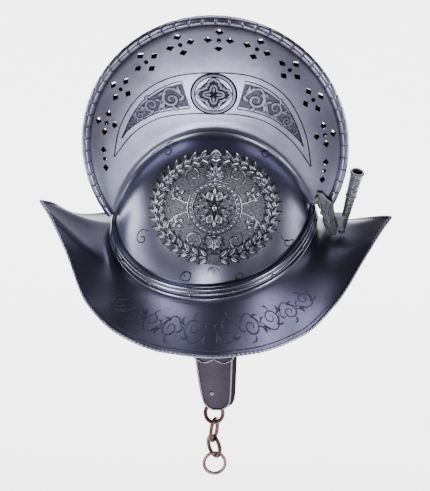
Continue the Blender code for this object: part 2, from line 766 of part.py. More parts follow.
def add_curved_plate(bm, rows, thickness):
    """A closed sheet from rows of outer points; its inner face lies a thickness towards +Y."""
    inward = Vector((0.0, thickness, 0.0))
    outer = add_grid(bm, rows)
    inner = add_grid(bm, [[p + inward for p in row] for row in rows])
    rim_outer = outer[0] + [r[-1] for r in outer[1:-1]] + outer[-1][::-1] + [r[0] for r in outer[-2:0:-1]]
    rim_inner = inner[0] + [r[-1] for r in inner[1:-1]] + inner[-1][::-1] + [r[0] for r in inner[-2:0:-1]]
    for k in range(len(rim_outer)):
        j = (k + 1) % len(rim_outer)
        bm.faces.new((rim_outer[k], rim_outer[j], rim_inner[j], rim_inner[k]))


def make_cheek_piece():
    """Meshes of the left side's plate, upper lame and strap."""
    across = [k / CHEEK_COLUMNS for k in range(CHEEK_COLUMNS + 1)]

    def row_between(z, front, rear, stand_off):
        return [cheek_surface(z, CHEEK_X + front + (rear - front) * t, stand_off) for t in across]

    bm = bmesh.new()
    rows = []
    for depth, front, rear in CHEEK_OUTLINE:
        z = PLATE_TOP_Z + (PLATE_BOTTOM_Z - PLATE_TOP_Z) * depth
        off = stand_off_at(z) + PLATE_SHEET
        rows.append(row_between(z, PLATE_HALF_WIDTH * front, PLATE_HALF_WIDTH * rear, off))
    add_curved_plate(bm, rows, PLATE_SHEET)
    plate = mesh_from(bm, "cheek_plate_left")

    bm = bmesh.new()
    rows = []
    lame_off = PLATE_STAND_OFF_TOP + 2 * PLATE_SHEET + 2 * GAP
    for down in across:
        row = []
        for t in across:
            x = CHEEK_X + PLATE_HALF_WIDTH * (LAME_FRONT + (LAME_REAR - LAME_FRONT) * t)
            scallop = LAME_SCALLOP * (abs(math.sin(2 * math.pi * t)) - 0.5) * down**3
            z = LAME_TOP_Z + (LAME_BOTTOM_Z - LAME_TOP_Z) * down - scallop
            row.append(cheek_surface(z, x, lame_off + stand_off_at(z)))
        rows.append(row)
    add_curved_plate(bm, rows, PLATE_SHEET)
    lame = mesh_from(bm, "cheek_lame_left")

    bm = bmesh.new()
    rows = [row_between(STRAP_TOP_Z, -STRAP_TOP_HALF_WIDTH, STRAP_TOP_HALF_WIDTH, 0.0)]
    rows.append(row_between(LAME_TOP_Z, -STRAP_TOP_HALF_WIDTH, STRAP_TOP_HALF_WIDTH, 0.0))
    for depth, front, rear in CHEEK_OUTLINE:
        z = PLATE_TOP_Z + (PLATE_BOTTOM_Z - STRAP_REAR_OVERHANG - PLATE_TOP_Z) * depth
        side = STRAP_REAR_OVERHANG if depth > 0 else 0.0
        rows.append(row_between(z, PLATE_HALF_WIDTH * front, PLATE_HALF_WIDTH * rear + side, 0.0))
    rows = [[Vector((p.x, -STRAP_OUTER_Y, p.z)) for p in (row[0], row[-1])] for row in rows]
    add_curved_plate(bm, rows, STRAP_THICKNESS)
    strap = mesh_from(bm, "cheek_strap_left")
    return plate, lame, strap


def add_cylinder_along_y(name, x, z, near_y, far_y, radius, sides, collection, material=None):
    bm = bmesh.new()
    bmesh.ops.create_cone(
        bm, cap_ends=True, segments=sides, radius1=radius, radius2=radius, depth=abs(far_y - near_y)
    )
    bmesh.ops.rotate(bm, matrix=Matrix.Rotation(math.pi / 2, 3, "X"), verts=bm.verts)
    bmesh.ops.translate(bm, vec=Vector((x, (near_y + far_y) / 2, z)), verts=bm.verts)
    return add_object(name, mesh_from(bm, name), material, collection)


def make_cheek_pieces(steel, leather, dark, parts, cutters):
    plate, lame, strap = make_cheek_piece()
    for side, sign in (("left", 1), ("right", -1)):
        meshes = [plate, lame, strap]
        if sign < 0:
            meshes = [mirrored(m, m.name.replace("left", "right")) for m in meshes]
        plate_object = add_object("cheek_plate_" + side, meshes[0], steel, parts)
        add_object("cheek_lame_" + side, meshes[1], steel, parts)
        strap_object = add_object("cheek_strap_" + side, meshes[2], leather, parts)

        back_y = -(STRAP_OUTER_Y + GAP) * sign
        hang_y = cheek_surface(HANGER_Z, CHEEK_X, stand_off_at(HANGER_Z) + 0.5 * PLATE_SHEET).y * sign
        pin = add_cylinder_along_y(
            "hanger_" + side, CHEEK_X, HANGER_Z, hang_y, back_y, HANGER_RADIUS, 8, cutters
        )
        join_to(plate_object, pin)

        off = stand_off_at(CHEEK_RIVET_Z) + PLATE_SHEET
        face_y = cheek_surface(CHEEK_RIVET_Z, CHEEK_RIVET_X, off).y * sign
        inside_y = -(STRAP_OUTER_Y - STRAP_THICKNESS - GAP) * sign
        hole = add_cylinder_along_y(
            "rivet_hole_" + side,
            CHEEK_RIVET_X,
            CHEEK_RIVET_Z,
            face_y - PLATE_SHEET * sign,
            inside_y + PLATE_SHEET * sign,
            CHEEK_SHANK_RADIUS + GAP,
            CHEEK_RIVET_SIDES,
            cutters,
        )
        cut_away(plate_object, hole)
        cut_away(strap_object, hole)
        make_cheek_rivet(side, sign, face_y, inside_y, dark, parts)
        make_strap_rivets(side, sign, strap_object, dark, parts, cutters)


def make_cheek_rivet(side, sign, face_y, inside_y, material, parts):
    """A domed rivet through plate and strap, with a flat burr inside: one turned solid."""
    face, inside = abs(face_y), abs(inside_y)
    profile = [(share * CHEEK_RIVET_RADIUS, face + height) for share, height in CHEEK_RIVET_HEAD]
    profile += [(CHEEK_SHANK_RADIUS, face + CHEEK_RIVET_HEAD[-1][1]), (CHEEK_SHANK_RADIUS, inside)]
    profile += [(BURR_RADIUS, inside), (BURR_RADIUS, inside - BURR_THICKNESS)]
    bm = bmesh.new()
    rows = []
    for radius, y in profile:
        turns = [2 * math.pi * k / CHEEK_RIVET_SIDES for k in range(CHEEK_RIVET_SIDES)]
        rows.append(
            [
                Vector((CHEEK_RIVET_X + radius * math.cos(a), -sign * y, CHEEK_RIVET_Z + radius * math.sin(a)))
                for a in turns
            ]
        )
    made = add_grid(bm, rows, closed_columns=True)
    bm.faces.new(made[0])
    bm.faces.new(made[-1])
    add_object("cheek_rivet_" + side, mesh_from(bm, "cheek_rivet_" + side), material, parts)


def make_strap_rivets(side, sign, strap_object, material, parts, cutters):
    """Two flat-headed rivets that pin the top of a strap to the skull's wall."""
    inside = STRAP_OUTER_Y - STRAP_THICKNESS - GAP
    for name, offset in (("front", -STRAP_RIVET_SPREAD), ("rear", STRAP_RIVET_SPREAD)):
        x = CHEEK_X + offset
        radius = CHEEK_SHANK_RADIUS
        hole = add_cylinder_along_y(
            f"strap_hole_{side}_{name}",
            x,
            STRAP_RIVET_Z,
            -sign * (STRAP_OUTER_Y + BURR_THICKNESS),
            -sign * (inside - BURR_THICKNESS),
            radius + GAP,
            CHEEK_RIVET_SIDES,
            cutters,
        )
        cut_away(strap_object, hole)
        bm = bmesh.new()
        rows = []
        for r, y in (
            (radius, STRAP_OUTER_Y),
            (radius, inside),
            (BURR_RADIUS, inside),
            (BURR_RADIUS, inside - BURR_THICKNESS),
        ):
            turns = [2 * math.pi * k / CHEEK_RIVET_SIDES for k in range(CHEEK_RIVET_SIDES)]
            rows.append([Vector((x + r * math.cos(a), -sign * y, STRAP_RIVET_Z + r * math.sin(a))) for a in turns])
        made = add_grid(bm, rows, closed_columns=True)
        bm.faces.new(made[0])
        bm.faces.new(made[-1])
        full = f"strap_rivet_{side}_{name}"
        add_object(full, mesh_from(bm, full), material, parts)


def link_points(length, width, wire):
    """The middle line of an oval link in the XZ plane, flat where the next link bears on it."""
    flat = math.cos(math.pi / LINK_STATIONS)
    points = []
    for k in range(LINK_STATIONS):
        turn = 2 * math.pi * (k + 0.5) / LINK_STATIONS
        x, z = (width - wire) / 2 * math.sin(turn), (length - wire) / 2 * math.cos(turn)
        points.append(Vector((x / flat, 0.0, z / flat)))
    return points


def chain_y():
    """The middle of the room between a strap and its plate, where the hanger pin is free."""
    return STRAP_OUTER_Y + 0.5 * (stand_off_at(HANGER_Z) + PLATE_BULGE)


def make_chain(material, parts):
    """Links down from the hanger pin. Each carries the next one's top bend in its bottom bend."""
    carrier_top = HANGER_Z + HANGER_RADIUS
    points = link_points(LINK_LENGTH, LINK_WIDTH, WIRE)
    for k, turn in enumerate(LINK_TURNS):
        link = add_wire(f"chain_link_{k + 1}", points, WIRE / 2, material, parts, closed=True)
        middle = carrier_top + LINK_PLAY + WIRE - LINK_LENGTH / 2
        link.location = Vector((CHEEK_X, -chain_y(), middle))
        link.rotation_euler = (0.0, 0.0, turn)
        carrier_top = middle - LINK_LENGTH / 2 + WIRE

    middle_radius = RING_OUTER_RADIUS - RING_WIRE / 2
    turns = [2 * math.pi * k / RING_STATIONS for k in range(RING_STATIONS)]
    points = [Vector((math.sin(a), 0.0, math.cos(a) - 1)) * middle_radius for a in turns]
    ring = add_wire("chain_ring", points, RING_WIRE / 2, material, parts, closed=True)
    ring.location = Vector((CHEEK_X, -chain_y(), carrier_top + LINK_PLAY + RING_WIRE / 2))
    ring.rotation_euler = (-RING_TILT, 0.0, RING_TURN)


def make_clasp_hook(material, parts):
    """A plain wire hook on the right hanger pin, which would catch the ring."""
    eye = HANGER_RADIUS + LINK_PLAY + HOOK_WIRE / 2
    points = []
    for k in range(HOOK_EYE_POINTS):
        a = math.radians(150 - 270 * k / (HOOK_EYE_POINTS - 1))
        points.append(Vector((eye * math.cos(a), 0.0, eye * math.sin(a))))
    bend = HOOK_BEND
    for k in range(HOOK_BEND_POINTS):
        a = math.radians(180 + 210 * k / (HOOK_BEND_POINTS - 1))
        points.append(Vector((bend * (1 + math.cos(a)) - eye, 0.0, bend * math.sin(a) - HOOK_DROP)))
    hook = add_wire("clasp_hook", points, HOOK_WIRE / 2, material, parts)
    hook.location = Vector((CHEEK_X, chain_y(), HANGER_Z))


def main():
    clear_scene()
    parts = new_collection("morion")
    cutters = new_collection("cutters")
    steel = new_material("polished_steel", (0.42, 0.42, 0.46), 0.28, 1.0)
    dark_steel = new_material("blackened_steel", (0.10, 0.10, 0.11), 0.45, 1.0)
    pewter = new_material("cast_pewter", (0.40, 0.41, 0.43), 0.50, 1.0)
    leather = new_material("black_leather", (0.015, 0.013, 0.013), 0.60, 0.0)
    copper = new_material("coppered_wire", (0.30, 0.12, 0.08), 0.35, 1.0)

    make_skull(steel, parts, cutters)
    make_rope(steel, parts)
    make_brim(steel, parts)
    make_cordon(steel, parts)
    make_rivets(dark_steel, parts)
    make_medallions(steel, parts)
    make_plume_holder(pewter, parts, cutters)
    make_cheek_pieces(steel, leather, dark_steel, parts, cutters)
    make_chain(copper, parts)
    make_clasp_hook(copper, parts)


main()
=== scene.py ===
"""A comb morion in burnished steel: raised skull and pierced comb, boat brim, fluted cordon,
relief medallions, plume tube, cheek pieces and a coppered chain. Metres, +Z up, front at -X."""

import math

import bmesh
import bpy
import numpy as np
from mathutils import Matrix, Vector
from mathutils.bvhtree import BVHTree


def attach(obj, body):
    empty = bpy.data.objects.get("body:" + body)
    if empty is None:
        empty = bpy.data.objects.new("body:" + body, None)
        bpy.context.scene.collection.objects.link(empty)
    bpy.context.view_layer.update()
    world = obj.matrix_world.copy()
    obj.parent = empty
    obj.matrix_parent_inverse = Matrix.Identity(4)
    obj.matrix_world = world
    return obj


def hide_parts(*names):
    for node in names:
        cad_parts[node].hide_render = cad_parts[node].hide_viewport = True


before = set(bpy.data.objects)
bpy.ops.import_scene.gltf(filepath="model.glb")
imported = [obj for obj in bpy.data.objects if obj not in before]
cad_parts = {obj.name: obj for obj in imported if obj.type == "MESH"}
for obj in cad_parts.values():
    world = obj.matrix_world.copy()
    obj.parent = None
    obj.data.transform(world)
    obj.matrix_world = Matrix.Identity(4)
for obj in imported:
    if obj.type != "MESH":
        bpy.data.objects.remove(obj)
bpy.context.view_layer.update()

# Skull and comb. One sheet of mild steel about 1.5 mm thick, raised over stakes into a tall
# egg whose crown is closed up into two flat walls. The walls are pierced with a fretsaw, and
# the whole is burnished and left with dark patina where the polishing mop can't reach. The inside
# of the shell, the walls of the holes and the flank under the roll are darkened as painted shade.
GAP = 0.0003
WALL = 0.0015
SKULL_X = 0.0013
SKULL_CENTRE_Z = -0.006
SKULL_HALF = (0.1030, 0.0950, 0.1390)
RING_SIDE_Z = 0.0105
RING_RISE = (0.0112, 0.0140, 0.0077)
SKIRT_TOP = 0.0090
SKIRT_BOTTOM = 0.0105
COMB_X = 0.0010
COMB_CENTRE_Z = 0.1090
COMB_HALF_LENGTH = 0.1295
COMB_HALF_HEIGHT = 0.1435
COMB_ROOT_HALF_WIDTH = 0.0060
COMB_EDGE_HALF_WIDTH = 0.0035
COMB_FILLET = 0.0080
COMB_CROWN = 0.0022
COMB_ANGLES = (math.radians(-23.5), math.radians(213.0))
ROLL_RADIUS = 0.0049
ROLL_OVERLAP = 0.0012
SKULL_STATIONS = 168
# Rows up the dome, round the fillet and up the comb, on the outer and on the inner side
OUTER_ROWS = (26, 6, 14)
INNER_ROWS = (12, 3, 8)

# Bright and warm tones of the steel, and the dark used both for patina and for painted shade
STEEL_BRIGHT = "9797b0"
STEEL_WARM = "625e70"
STEEL_PATINA_AND_SHADE = "1d1c22"


def linear(hex_colour):
    """An sRGB hex value as linear colour."""
    parts = [int(hex_colour[k : k + 2], 16) / 255 for k in (0, 2, 4)]
    return tuple(c / 12.92 if c <= 0.04045 else ((c + 0.055) / 1.055) ** 2.4 for c in parts) + (1.0,)


def add_node(tree, kind, links=None, **settings):
    """Adds a node, sets its sockets and properties, and links sockets from (node, output) pairs."""
    made = tree.nodes.new(kind)
    for name, value in settings.items():
        if hasattr(made, name):
            setattr(made, name, value)
        else:
            made.inputs[name.replace("_", " ")].default_value = value
    for key, (source, output) in (links or {}).items():
        tree.links.new(source.outputs[output], made.inputs[key])
    return made


def burnished_steel(
    name, grain_axis, bright=STEEL_BRIGHT, warm=STEEL_WARM, rough=0.27, mottle=0.5, pits=0.0
):
    """Mild steel polished on a mop: fine drawn scratches about 0.4 mm wide, drawn wider to show,
    soft cloudy stains, and dark where the attribute patina is high, which holds both patina in
    hollows and painted shade. pits adds punched stippling 1.3 mm apart."""
    material = bpy.data.materials.new(name)
    material.use_nodes = True
    tree = material.node_tree
    shader = tree.nodes["Principled BSDF"]
    shader.inputs["Metallic"].default_value = 1.0
    place = add_node(tree, "ShaderNodeTexCoord")
    on_piece = {"Vector": (place, "Object")}
    stretch = [700.0, 700.0, 700.0]
    stretch[grain_axis] = 45.0
    drawn = add_node(tree, "ShaderNodeMapping", on_piece, Scale=stretch)
    scratch = add_node(
        tree, "ShaderNodeTexNoise", {"Vector": (drawn, "Vector")}, Scale=1.0, Detail=3.0
    )
    cloud = add_node(tree, "ShaderNodeTexNoise", on_piece, Scale=9.0, Detail=5.0)
    speck = add_node(tree, "ShaderNodeTexNoise", on_piece, Scale=260.0, Detail=2.0)
    reach = add_node(
        tree, "ShaderNodeMapRange", {"Value": (cloud, "Fac")}, From_Min=0.34, From_Max=0.66
    )
    stain = add_node(tree, "ShaderNodeMix", {"Factor": (reach, "Result")}, data_type="RGBA")
    stain.inputs[6].default_value = linear(bright)
    stain.inputs[7].default_value = linear(warm)
    # The attribute patina holds patina in hollows and also painted shade
    depth = add_node(tree, "ShaderNodeAttribute", attribute_name="patina")
    grime = add_node(
        tree,
        "ShaderNodeMapRange",
        {"Value": (speck, "Fac")},
        From_Min=0.45,
        From_Max=0.75,
        To_Max=0.10,
    )
    patina_shade_and_grime = add_node(
        tree,
        "ShaderNodeMath",
        {0: (depth, "Fac"), 1: (grime, "Result")},
        operation="ADD",
        use_clamp=True,
    )
    ground = patina_shade_and_grime
    if pits:
        punched = add_node(tree, "ShaderNodeTexVoronoi", on_piece, Scale=1 / 0.0013)
        dot = add_node(
            tree,
            "ShaderNodeMapRange",
            {"Value": (punched, "Distance")},
            From_Max=0.55,
            To_Min=0.0,
            To_Max=pits,
        )
        ground = add_node(
            tree,
            "ShaderNodeMath",
            {0: (patina_shade_and_grime, 0), 1: (dot, "Result")},
            operation="SUBTRACT",
            use_clamp=True,
        )
    dark = add_node(tree, "ShaderNodeMix", {"Factor": (ground, 0)}, data_type="RGBA")
    tree.links.new(stain.outputs[2], dark.inputs[6])
    dark.inputs[7].default_value = linear(STEEL_PATINA_AND_SHADE)
    tree.links.new(dark.outputs[2], shader.inputs["Base Color"])
    spread = add_node(
        tree,
        "ShaderNodeMapRange",
        {"Value": (cloud, "Fac")},
        To_Min=rough - 0.07 * mottle,
        To_Max=rough + 0.16 * mottle,
    )
    worn = add_node(tree, "ShaderNodeMath", {0: (ground, 0)}, operation="MULTIPLY")
    worn.inputs[1].default_value = 0.35
    duller = add_node(
        tree, "ShaderNodeMath", {0: (spread, "Result"), 1: (worn, 0)}, operation="ADD"
    )
    tree.links.new(duller.outputs[0], shader.inputs["Roughness"])
    bump = add_node(
        tree, "ShaderNodeBump", {"Height": (scratch, "Fac")}, Strength=0.15, Distance=0.0003
    )
    if pits:
        bump = add_node(
            tree,
            "ShaderNodeBump",
            {"Height": (punched, "Distance"), "Normal": (bump, "Normal")},
            Strength=0.6,
            Distance=0.0005,
        )
    tree.links.new(bump.outputs["Normal"], shader.inputs["Normal"])
    return material


def ring_point(turn, lift, outward):
    """A point on the skull's outline at a plan angle, lifted from the cordon's middle line."""
    along = math.cos(turn)
    z = RING_SIDE_Z + RING_RISE[0] * along + RING_RISE[1] * along**2 + RING_RISE[2] * along**4 + lift
    share = math.sqrt(1 - ((z - SKULL_CENTRE_Z) / SKULL_HALF[2]) ** 2)
    x = SKULL_X + (SKULL_HALF[0] * share + outward) * along
    return Vector((x, -(SKULL_HALF[1] * share + outward) * math.sin(turn), z))


def crest_point(angle, inset):
    """A point of the mid-plane at an angle on the comb's ellipse, inset from its outer edge."""
    x = COMB_X + (COMB_HALF_LENGTH - inset) * math.cos(angle)
    return Vector((x, 0.0, COMB_CENTRE_Z + (COMB_HALF_HEIGHT - inset) * math.sin(angle)))


def skull_section(share, inset, arc_rows, fillet_rows, flank_rows):
    """Points up the left side of the skull and the comb, share 0 at the rear and 1 at the front."""
    turn = math.pi * share
    foot = ring_point(turn, SKIRT_TOP, -inset)
    length, width, height = (half - inset for half in SKULL_HALF)
    root_half, edge_half = COMB_ROOT_HALF_WIDTH - inset, COMB_EDGE_HALF_WIDTH - inset
    across = math.sqrt(1 - max(-1.0, min(1.0, (foot.x - SKULL_X) / length)) ** 2)
    crown = Vector((foot.x, -root_half, max(SKULL_CENTRE_Z + height * across, foot.z)))
    low, high = COMB_ANGLES[0] + inset / COMB_HALF_LENGTH, COMB_ANGLES[1] - inset / COMB_HALF_LENGTH
    crest = crest_point(low + (high - low) * share, 2 * ROLL_RADIUS - ROLL_OVERLAP + inset)
    crest.y = -edge_half
    flank = crest - crown
    fillet = COMB_FILLET + inset
    flank_start = crown + flank.normalized() * min(fillet, 0.5 * flank.length)
    start = math.asin(min(1.0, (foot.z - SKULL_CENTRE_Z) / max(height * across, 1e-6)))
    stop = max(start, math.acos(min(1.0, (root_half + fillet) / max(width * across, 1e-6))))
    points = []
    for k in range(arc_rows + 1):
        lift = start + (stop - start) * k / arc_rows
        y = -max(width * across * math.cos(lift), root_half)
        points.append(Vector((foot.x, y, SKULL_CENTRE_Z + height * across * math.sin(lift))))
    arc_end = points[-1].copy()
    for k in range(1, fillet_rows + 1):
        t = k / fillet_rows
        points.append(arc_end * (1 - t) ** 2 + crown * (2 * t * (1 - t)) + flank_start * t**2)
    for k in range(1, flank_rows + 1):
        point = flank_start.lerp(crest, k / flank_rows)
        swell = COMB_CROWN * math.sin(math.pi * k / flank_rows)
        point.y -= swell * min(1.0, flank.length / COMB_HALF_LENGTH)
        points.append(point)
    return points


def direction(angle):
    """A flat vector one metre long at an angle."""
    return Vector((math.cos(angle), math.sin(angle)))


def around(count):
    """Evenly spaced angles of one turn."""
    return [2 * math.pi * k / count for k in range(count)]


def join_rows(bm, made, closed_columns=False, closed_rows=False):
    """Spans faces between rows of vertices of one length."""
    columns = len(made[0])
    for i in range(len(made) if closed_rows else len(made) - 1):
        here, above = made[i], made[(i + 1) % len(made)]
        for j in range(columns if closed_columns else columns - 1):
            k = (j + 1) % columns
            bm.faces.new((here[j], here[k], above[k], above[j]))


def add_rows(bm, rows, closed_columns=False, closed_rows=False):
    """Adds a skin over rows of points of one length and returns its rows of vertices."""
    made = [[bm.verts.new(point) for point in row] for row in rows]
    join_rows(bm, made, closed_columns, closed_rows)
    return made


def close_ends(bm, made):
    """Closes a skin's first and last ring with a face each."""
    bm.faces.new(made[0])
    bm.faces.new(made[-1])


def finished(bm, name, smooth=40.0):
    """Merges doubles, turns faces outwards, shades smooth and links the piece's object."""
    bmesh.ops.remove_doubles(bm, verts=bm.verts, dist=2e-6)
    bmesh.ops.recalc_face_normals(bm, faces=bm.faces)
    mesh = bpy.data.meshes.new(name)
    bm.to_mesh(mesh)
    bm.free()
    mesh.shade_smooth()
    mesh.set_sharp_from_angle(angle=math.radians(smooth))
    made = bpy.data.objects.new(name, mesh)
    bpy.context.scene.collection.objects.link(made)
    return made


def dressed(piece, material, slot, *nodes):
    """Gives a piece its material and its place in the frame."""
    piece.data.materials.clear()
    piece.data.materials.append(material)
    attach(piece, "root")
    if nodes:
        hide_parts(*nodes)


def evaluated_copy(source, name):
    """The mesh that an object's modifiers give, as a plain object in its place."""
    graph = bpy.context.evaluated_depsgraph_get()
    mesh = bpy.data.meshes.new_from_object(source.evaluated_get(graph))
    mesh.name = name
    bpy.data.objects.remove(source, do_unlink=True)
    made = bpy.data.objects.new(name, mesh)
    bpy.context.scene.collection.objects.link(made)
    return made


def skull_half(bm, shares, inset, rows):
    left = [skull_section(share, inset, *rows) for share in shares]
    right = [[Vector((p.x, -p.y, p.z)) for p in row] for row in left]
    add_rows(bm, left)
    add_rows(bm, right)
    add_rows(bm, [[row[-1] for row in left], [row[-1] for row in right]])
    for end in (0, -1):
        add_rows(bm, [left[end][rows[0] :], right[end][rows[0] :]])
    loop = [row[0] for row in left] + [row[0] for row in reversed(right)]
    lower = []
    for drop in (0.33, 0.67, 1.0):
        lift = SKIRT_TOP - drop * (SKIRT_TOP + SKIRT_BOTTOM)
        ring = [ring_point(math.pi * share, lift, -inset) for share in shares]
        ring = [Vector((p.x, -max(-p.y, COMB_ROOT_HALF_WIDTH - inset), p.z)) for p in ring]
        lower.append(ring + [Vector((p.x, -p.y, p.z)) for p in reversed(ring)])
    add_rows(bm, [loop, *lower], closed_columns=True)
    return lower[-1]


skull_shares = [k / SKULL_STATIONS for k in range(SKULL_STATIONS + 1)]
skull_bm = bmesh.new()
skull_outer_rim = skull_half(skull_bm, skull_shares, 0.0, OUTER_ROWS)
skull_bm.normal_update()
skull_tree = BVHTree.FromBMesh(skull_bm)
skull_inner_rim = skull_half(skull_bm, skull_shares, WALL, INNER_ROWS)
add_rows(skull_bm, [skull_outer_rim, skull_inner_rim], closed_columns=True)
skull = finished(skull_bm, "skull_shell")
inner_bm = bmesh.new()
skull_half(inner_bm, skull_shares, WALL, INNER_ROWS)
skull_inner_tree = BVHTree.FromBMesh(inner_bm)
inner_bm.free()

# Piercings in the comb. Eleven crosses of four lozenges round a dot, cut through both walls
# with a fretsaw, and shortened to a column at each end of the comb.
PIERCED_STEP = math.radians(19.1)
PIERCED_MIDDLE = math.radians(88.0)
PIERCED_INSET = 0.0225
LOZENGE_HALF = (0.0042, 0.0029)
LOZENGE_OFFSETS = (0.0100, 0.0079)
DOT_RADIUS = 0.0021
CUTTER_REACH = 0.010


def prism(bm, centre, across, up, half_length, half_width, sides):
    """A prism along Y through the comb whose section has its corners on an ellipse."""
    rows = []
    for y in (-CUTTER_REACH, CUTTER_REACH):
        row = []
        for turn in around(sides):
            offset = across * (half_length * math.cos(turn)) + up * (half_width * math.sin(turn))
            row.append(centre + offset + Vector((0, y, 0)))
        rows.append(row)
    made = add_rows(bm, rows, closed_columns=True)
    close_ends(bm, made)


cutter_bm = bmesh.new()
for group in range(-5, 6):
    angle = PIERCED_MIDDLE + group * PIERCED_STEP
    centre = crest_point(angle, PIERCED_INSET)
    tangent = (crest_point(angle + 0.01, PIERCED_INSET) - centre).normalized()
    radial = Vector((tangent.z, 0.0, -tangent.x))
    prism(cutter_bm, centre, tangent, radial, DOT_RADIUS, DOT_RADIUS, 14)
    places = [(1, 0), (-1, 0), (0, 1), (0, -1)] if abs(group) < 5 else [(1, 0), (-1, 0)]
    for side, out in places:
        spot = centre + tangent * (side * LOZENGE_OFFSETS[0]) + radial * (out * LOZENGE_OFFSETS[1])
        prism(cutter_bm, spot, tangent, radial, *LOZENGE_HALF, 4)
cutter = finished(cutter_bm, "piercing_cutter")
saw = skull.modifiers.new("pierced", "BOOLEAN")
saw.operation = "DIFFERENCE"
saw.object = cutter
skull = evaluated_copy(skull, "skull_shell")
bpy.data.objects.remove(cutter, do_unlink=True)
skull.data.set_sharp_from_angle(angle=math.radians(40.0))


def store_patina_and_shade(mesh, values):
    """Gives each point of a mesh its patina and painted shade, 0 where it is polished bright and 1
    where dark.
    """
    mesh.attributes.new("patina", "FLOAT", "POINT")
    mesh.attributes["patina"].data.foreach_set("value", values)


# Where the painted shadow under the roll begins, in shares of the comb's ellipse, and how wide it is
ROLL_SHADE_START = 0.932
ROLL_SHADE_WIDTH = 0.014
ROLL_SHADE = 0.85
COMB_SIDE_MOST = 0.008
ON_SURFACE = 0.0003


def skull_painted_shade(point):
    """Painted shade: dark under the roll, inside the shell and in the holes, and bright elsewhere."""
    along = (point.x - COMB_X) / COMB_HALF_LENGTH
    up = (point.z - COMB_CENTRE_Z) / COMB_HALF_HEIGHT
    outer_gap = skull_tree.find_nearest(point)[3]
    # Painted shade inside the shell and on the walls of the holes
    if outer_gap > ON_SURFACE or skull_inner_tree.find_nearest(point)[3] < 0.0001:
        return 1.0
    if abs(point.y) > COMB_SIDE_MOST:
        return 0.0
    # Painted shadow of the roll along the top of the flank
    below = max(0.0, ROLL_SHADE_START - Vector((along, up)).length)
    return ROLL_SHADE * max(0.0, 1 - below / ROLL_SHADE_WIDTH)


skull_steel = burnished_steel("burnished_mild_steel", 0)
store_patina_and_shade(skull.data, [skull_painted_shade(vert.co) for vert in skull.data.vertices])
dressed(skull, skull_steel, "polished_steel", "skull")
# A near-black steel on the inside of the shell and the walls of the holes is painted shade, so the
# piercings read dark
shade_black_steel = burnished_steel("forge_black_steel", 0, bright="34333a", warm="2c2a2e", rough=0.5)
skull.data.materials.append(shade_black_steel)
for face in skull.data.polygons:
    inside = skull_inner_tree.find_nearest(face.center)[3] < 0.0002
    face.material_index = 1 if inside or skull_tree.find_nearest(face.center)[3] > 0.0002 else 0

# Chased crescents on both flanks of the comb. Each is struck into the sheet from the front: a
# dark cut border, then a matted panel where a running scroll with curls and leaves stands up.
# Rows run from the front tip to the rear tip: x and z of the crescent's two edges
CRESCENT_OUTER = (
    (-0.0966, 0.1037), (-0.0890, 0.1390), (-0.0700, 0.1715), (-0.0400, 0.1920), (0.0, 0.1980),
    (0.0400, 0.1935), (0.0690, 0.1725), (0.0870, 0.1360), (0.0944, 0.0975),
)  # fmt: skip
CRESCENT_INNER = (
    (-0.0966, 0.1037), (-0.0770, 0.1312), (-0.0530, 0.1480), (-0.0270, 0.1537), (0.0, 0.1546),
    (0.0270, 0.1537), (0.0520, 0.1455), (0.0755, 0.1255), (0.0944, 0.0975),
)  # fmt: skip
ROUNDEL_CENTRE = Vector((0.0002, 0.1757))
ROUNDEL_RADIUS = 0.0214
PANEL_SPANS = ((0.405, 0.09), (0.595, 0.91))
PANEL_INSET = 0.0060
LINE_HALF = 0.0006
LINE_HEIGHT = 0.0002
GROUND_LIFT = 0.00012


def symmetric(half):
    """A bar's section from its left half, in rows of across share, height share and patina."""
    return half + tuple((-across, lift, dark) for across, lift, dark in half[-2::-1])


RAISED = symmetric(((-1, -0.3, 1), (-0.88, 0.4, 1), (-0.45, 0.9, 0.15), (0, 1, 0)))
CUT_LINE = symmetric(((-1, -0.3, 0.3), (-0.85, 1, 0.15), (-0.62, 0.3, 1), (0, 0.2, 1)))
FAINT_LINE = symmetric(((-1, -0.3, 0.1), (-0.85, 1, 0), (-0.6, 0.3, 0.35), (0, 0.2, 0.4)))


def ray_onto(tree, start, way):
    """Where a ray meets a surface, with the surface's normal turned towards the ray's start."""
    place, normal, _, _ = tree.ray_cast(start, way)
    if place is None:
        place, normal, _, _ = tree.find_nearest(start + way * 0.1)
    return place, (normal if normal.dot(way) < 0 else -normal)


def on_flank(u, v):
    return ray_onto(skull_tree, Vector((u, -0.06, v)), Vector((0, 1, 0)))


def relief_mesh():
    """An empty mesh under construction, with the layer that holds its patina and any painted shade."""
    bm = bmesh.new()
    bm.verts.layers.float.new("patina")
    return bm


def add_point(bm, place, dark):
    vert = bm.verts.new(place)
    vert[bm.verts.layers.float["patina"]] = dark
    return vert


def add_strip(bm, path, widths, height, section, onto, closed=False):
    """Lays a bar along flat points onto a surface, with one half width or one for each point."""
    rows = []
    count = len(path)
    if isinstance(widths, float):
        widths = [widths] * count
    for k, point in enumerate(path):
        ahead = path[(k + 1) % count] if closed else path[min(k + 1, count - 1)]
        behind = path[k - 1] if closed or k else path[0]
        way = (ahead - behind).normalized()
        side = Vector((-way.y, way.x))
        row = []
        for across, lift, dark in section:
            spot = point + side * (across * widths[k])
            place, normal = onto(spot.x, spot.y)
            row.append(add_point(bm, place + normal * (lift * height), dark))
        rows.append(row)
    join_rows(bm, rows, closed_columns=True, closed_rows=closed)
    if not closed:
        close_ends(bm, rows)


def tapered(count, half, start=0.25, end=0.12, belly=0.35):
    """Half widths along a bar that swells to its belly and thins towards both ends."""
    widths = []
    for k in range(count):
        t = k / (count - 1)
        low, t2 = (start, t / belly) if t < belly else (end, (1 - t) / (1 - belly))
        widths.append(half * (low + (1 - low) * math.sin(0.5 * math.pi * t2)))
    return widths


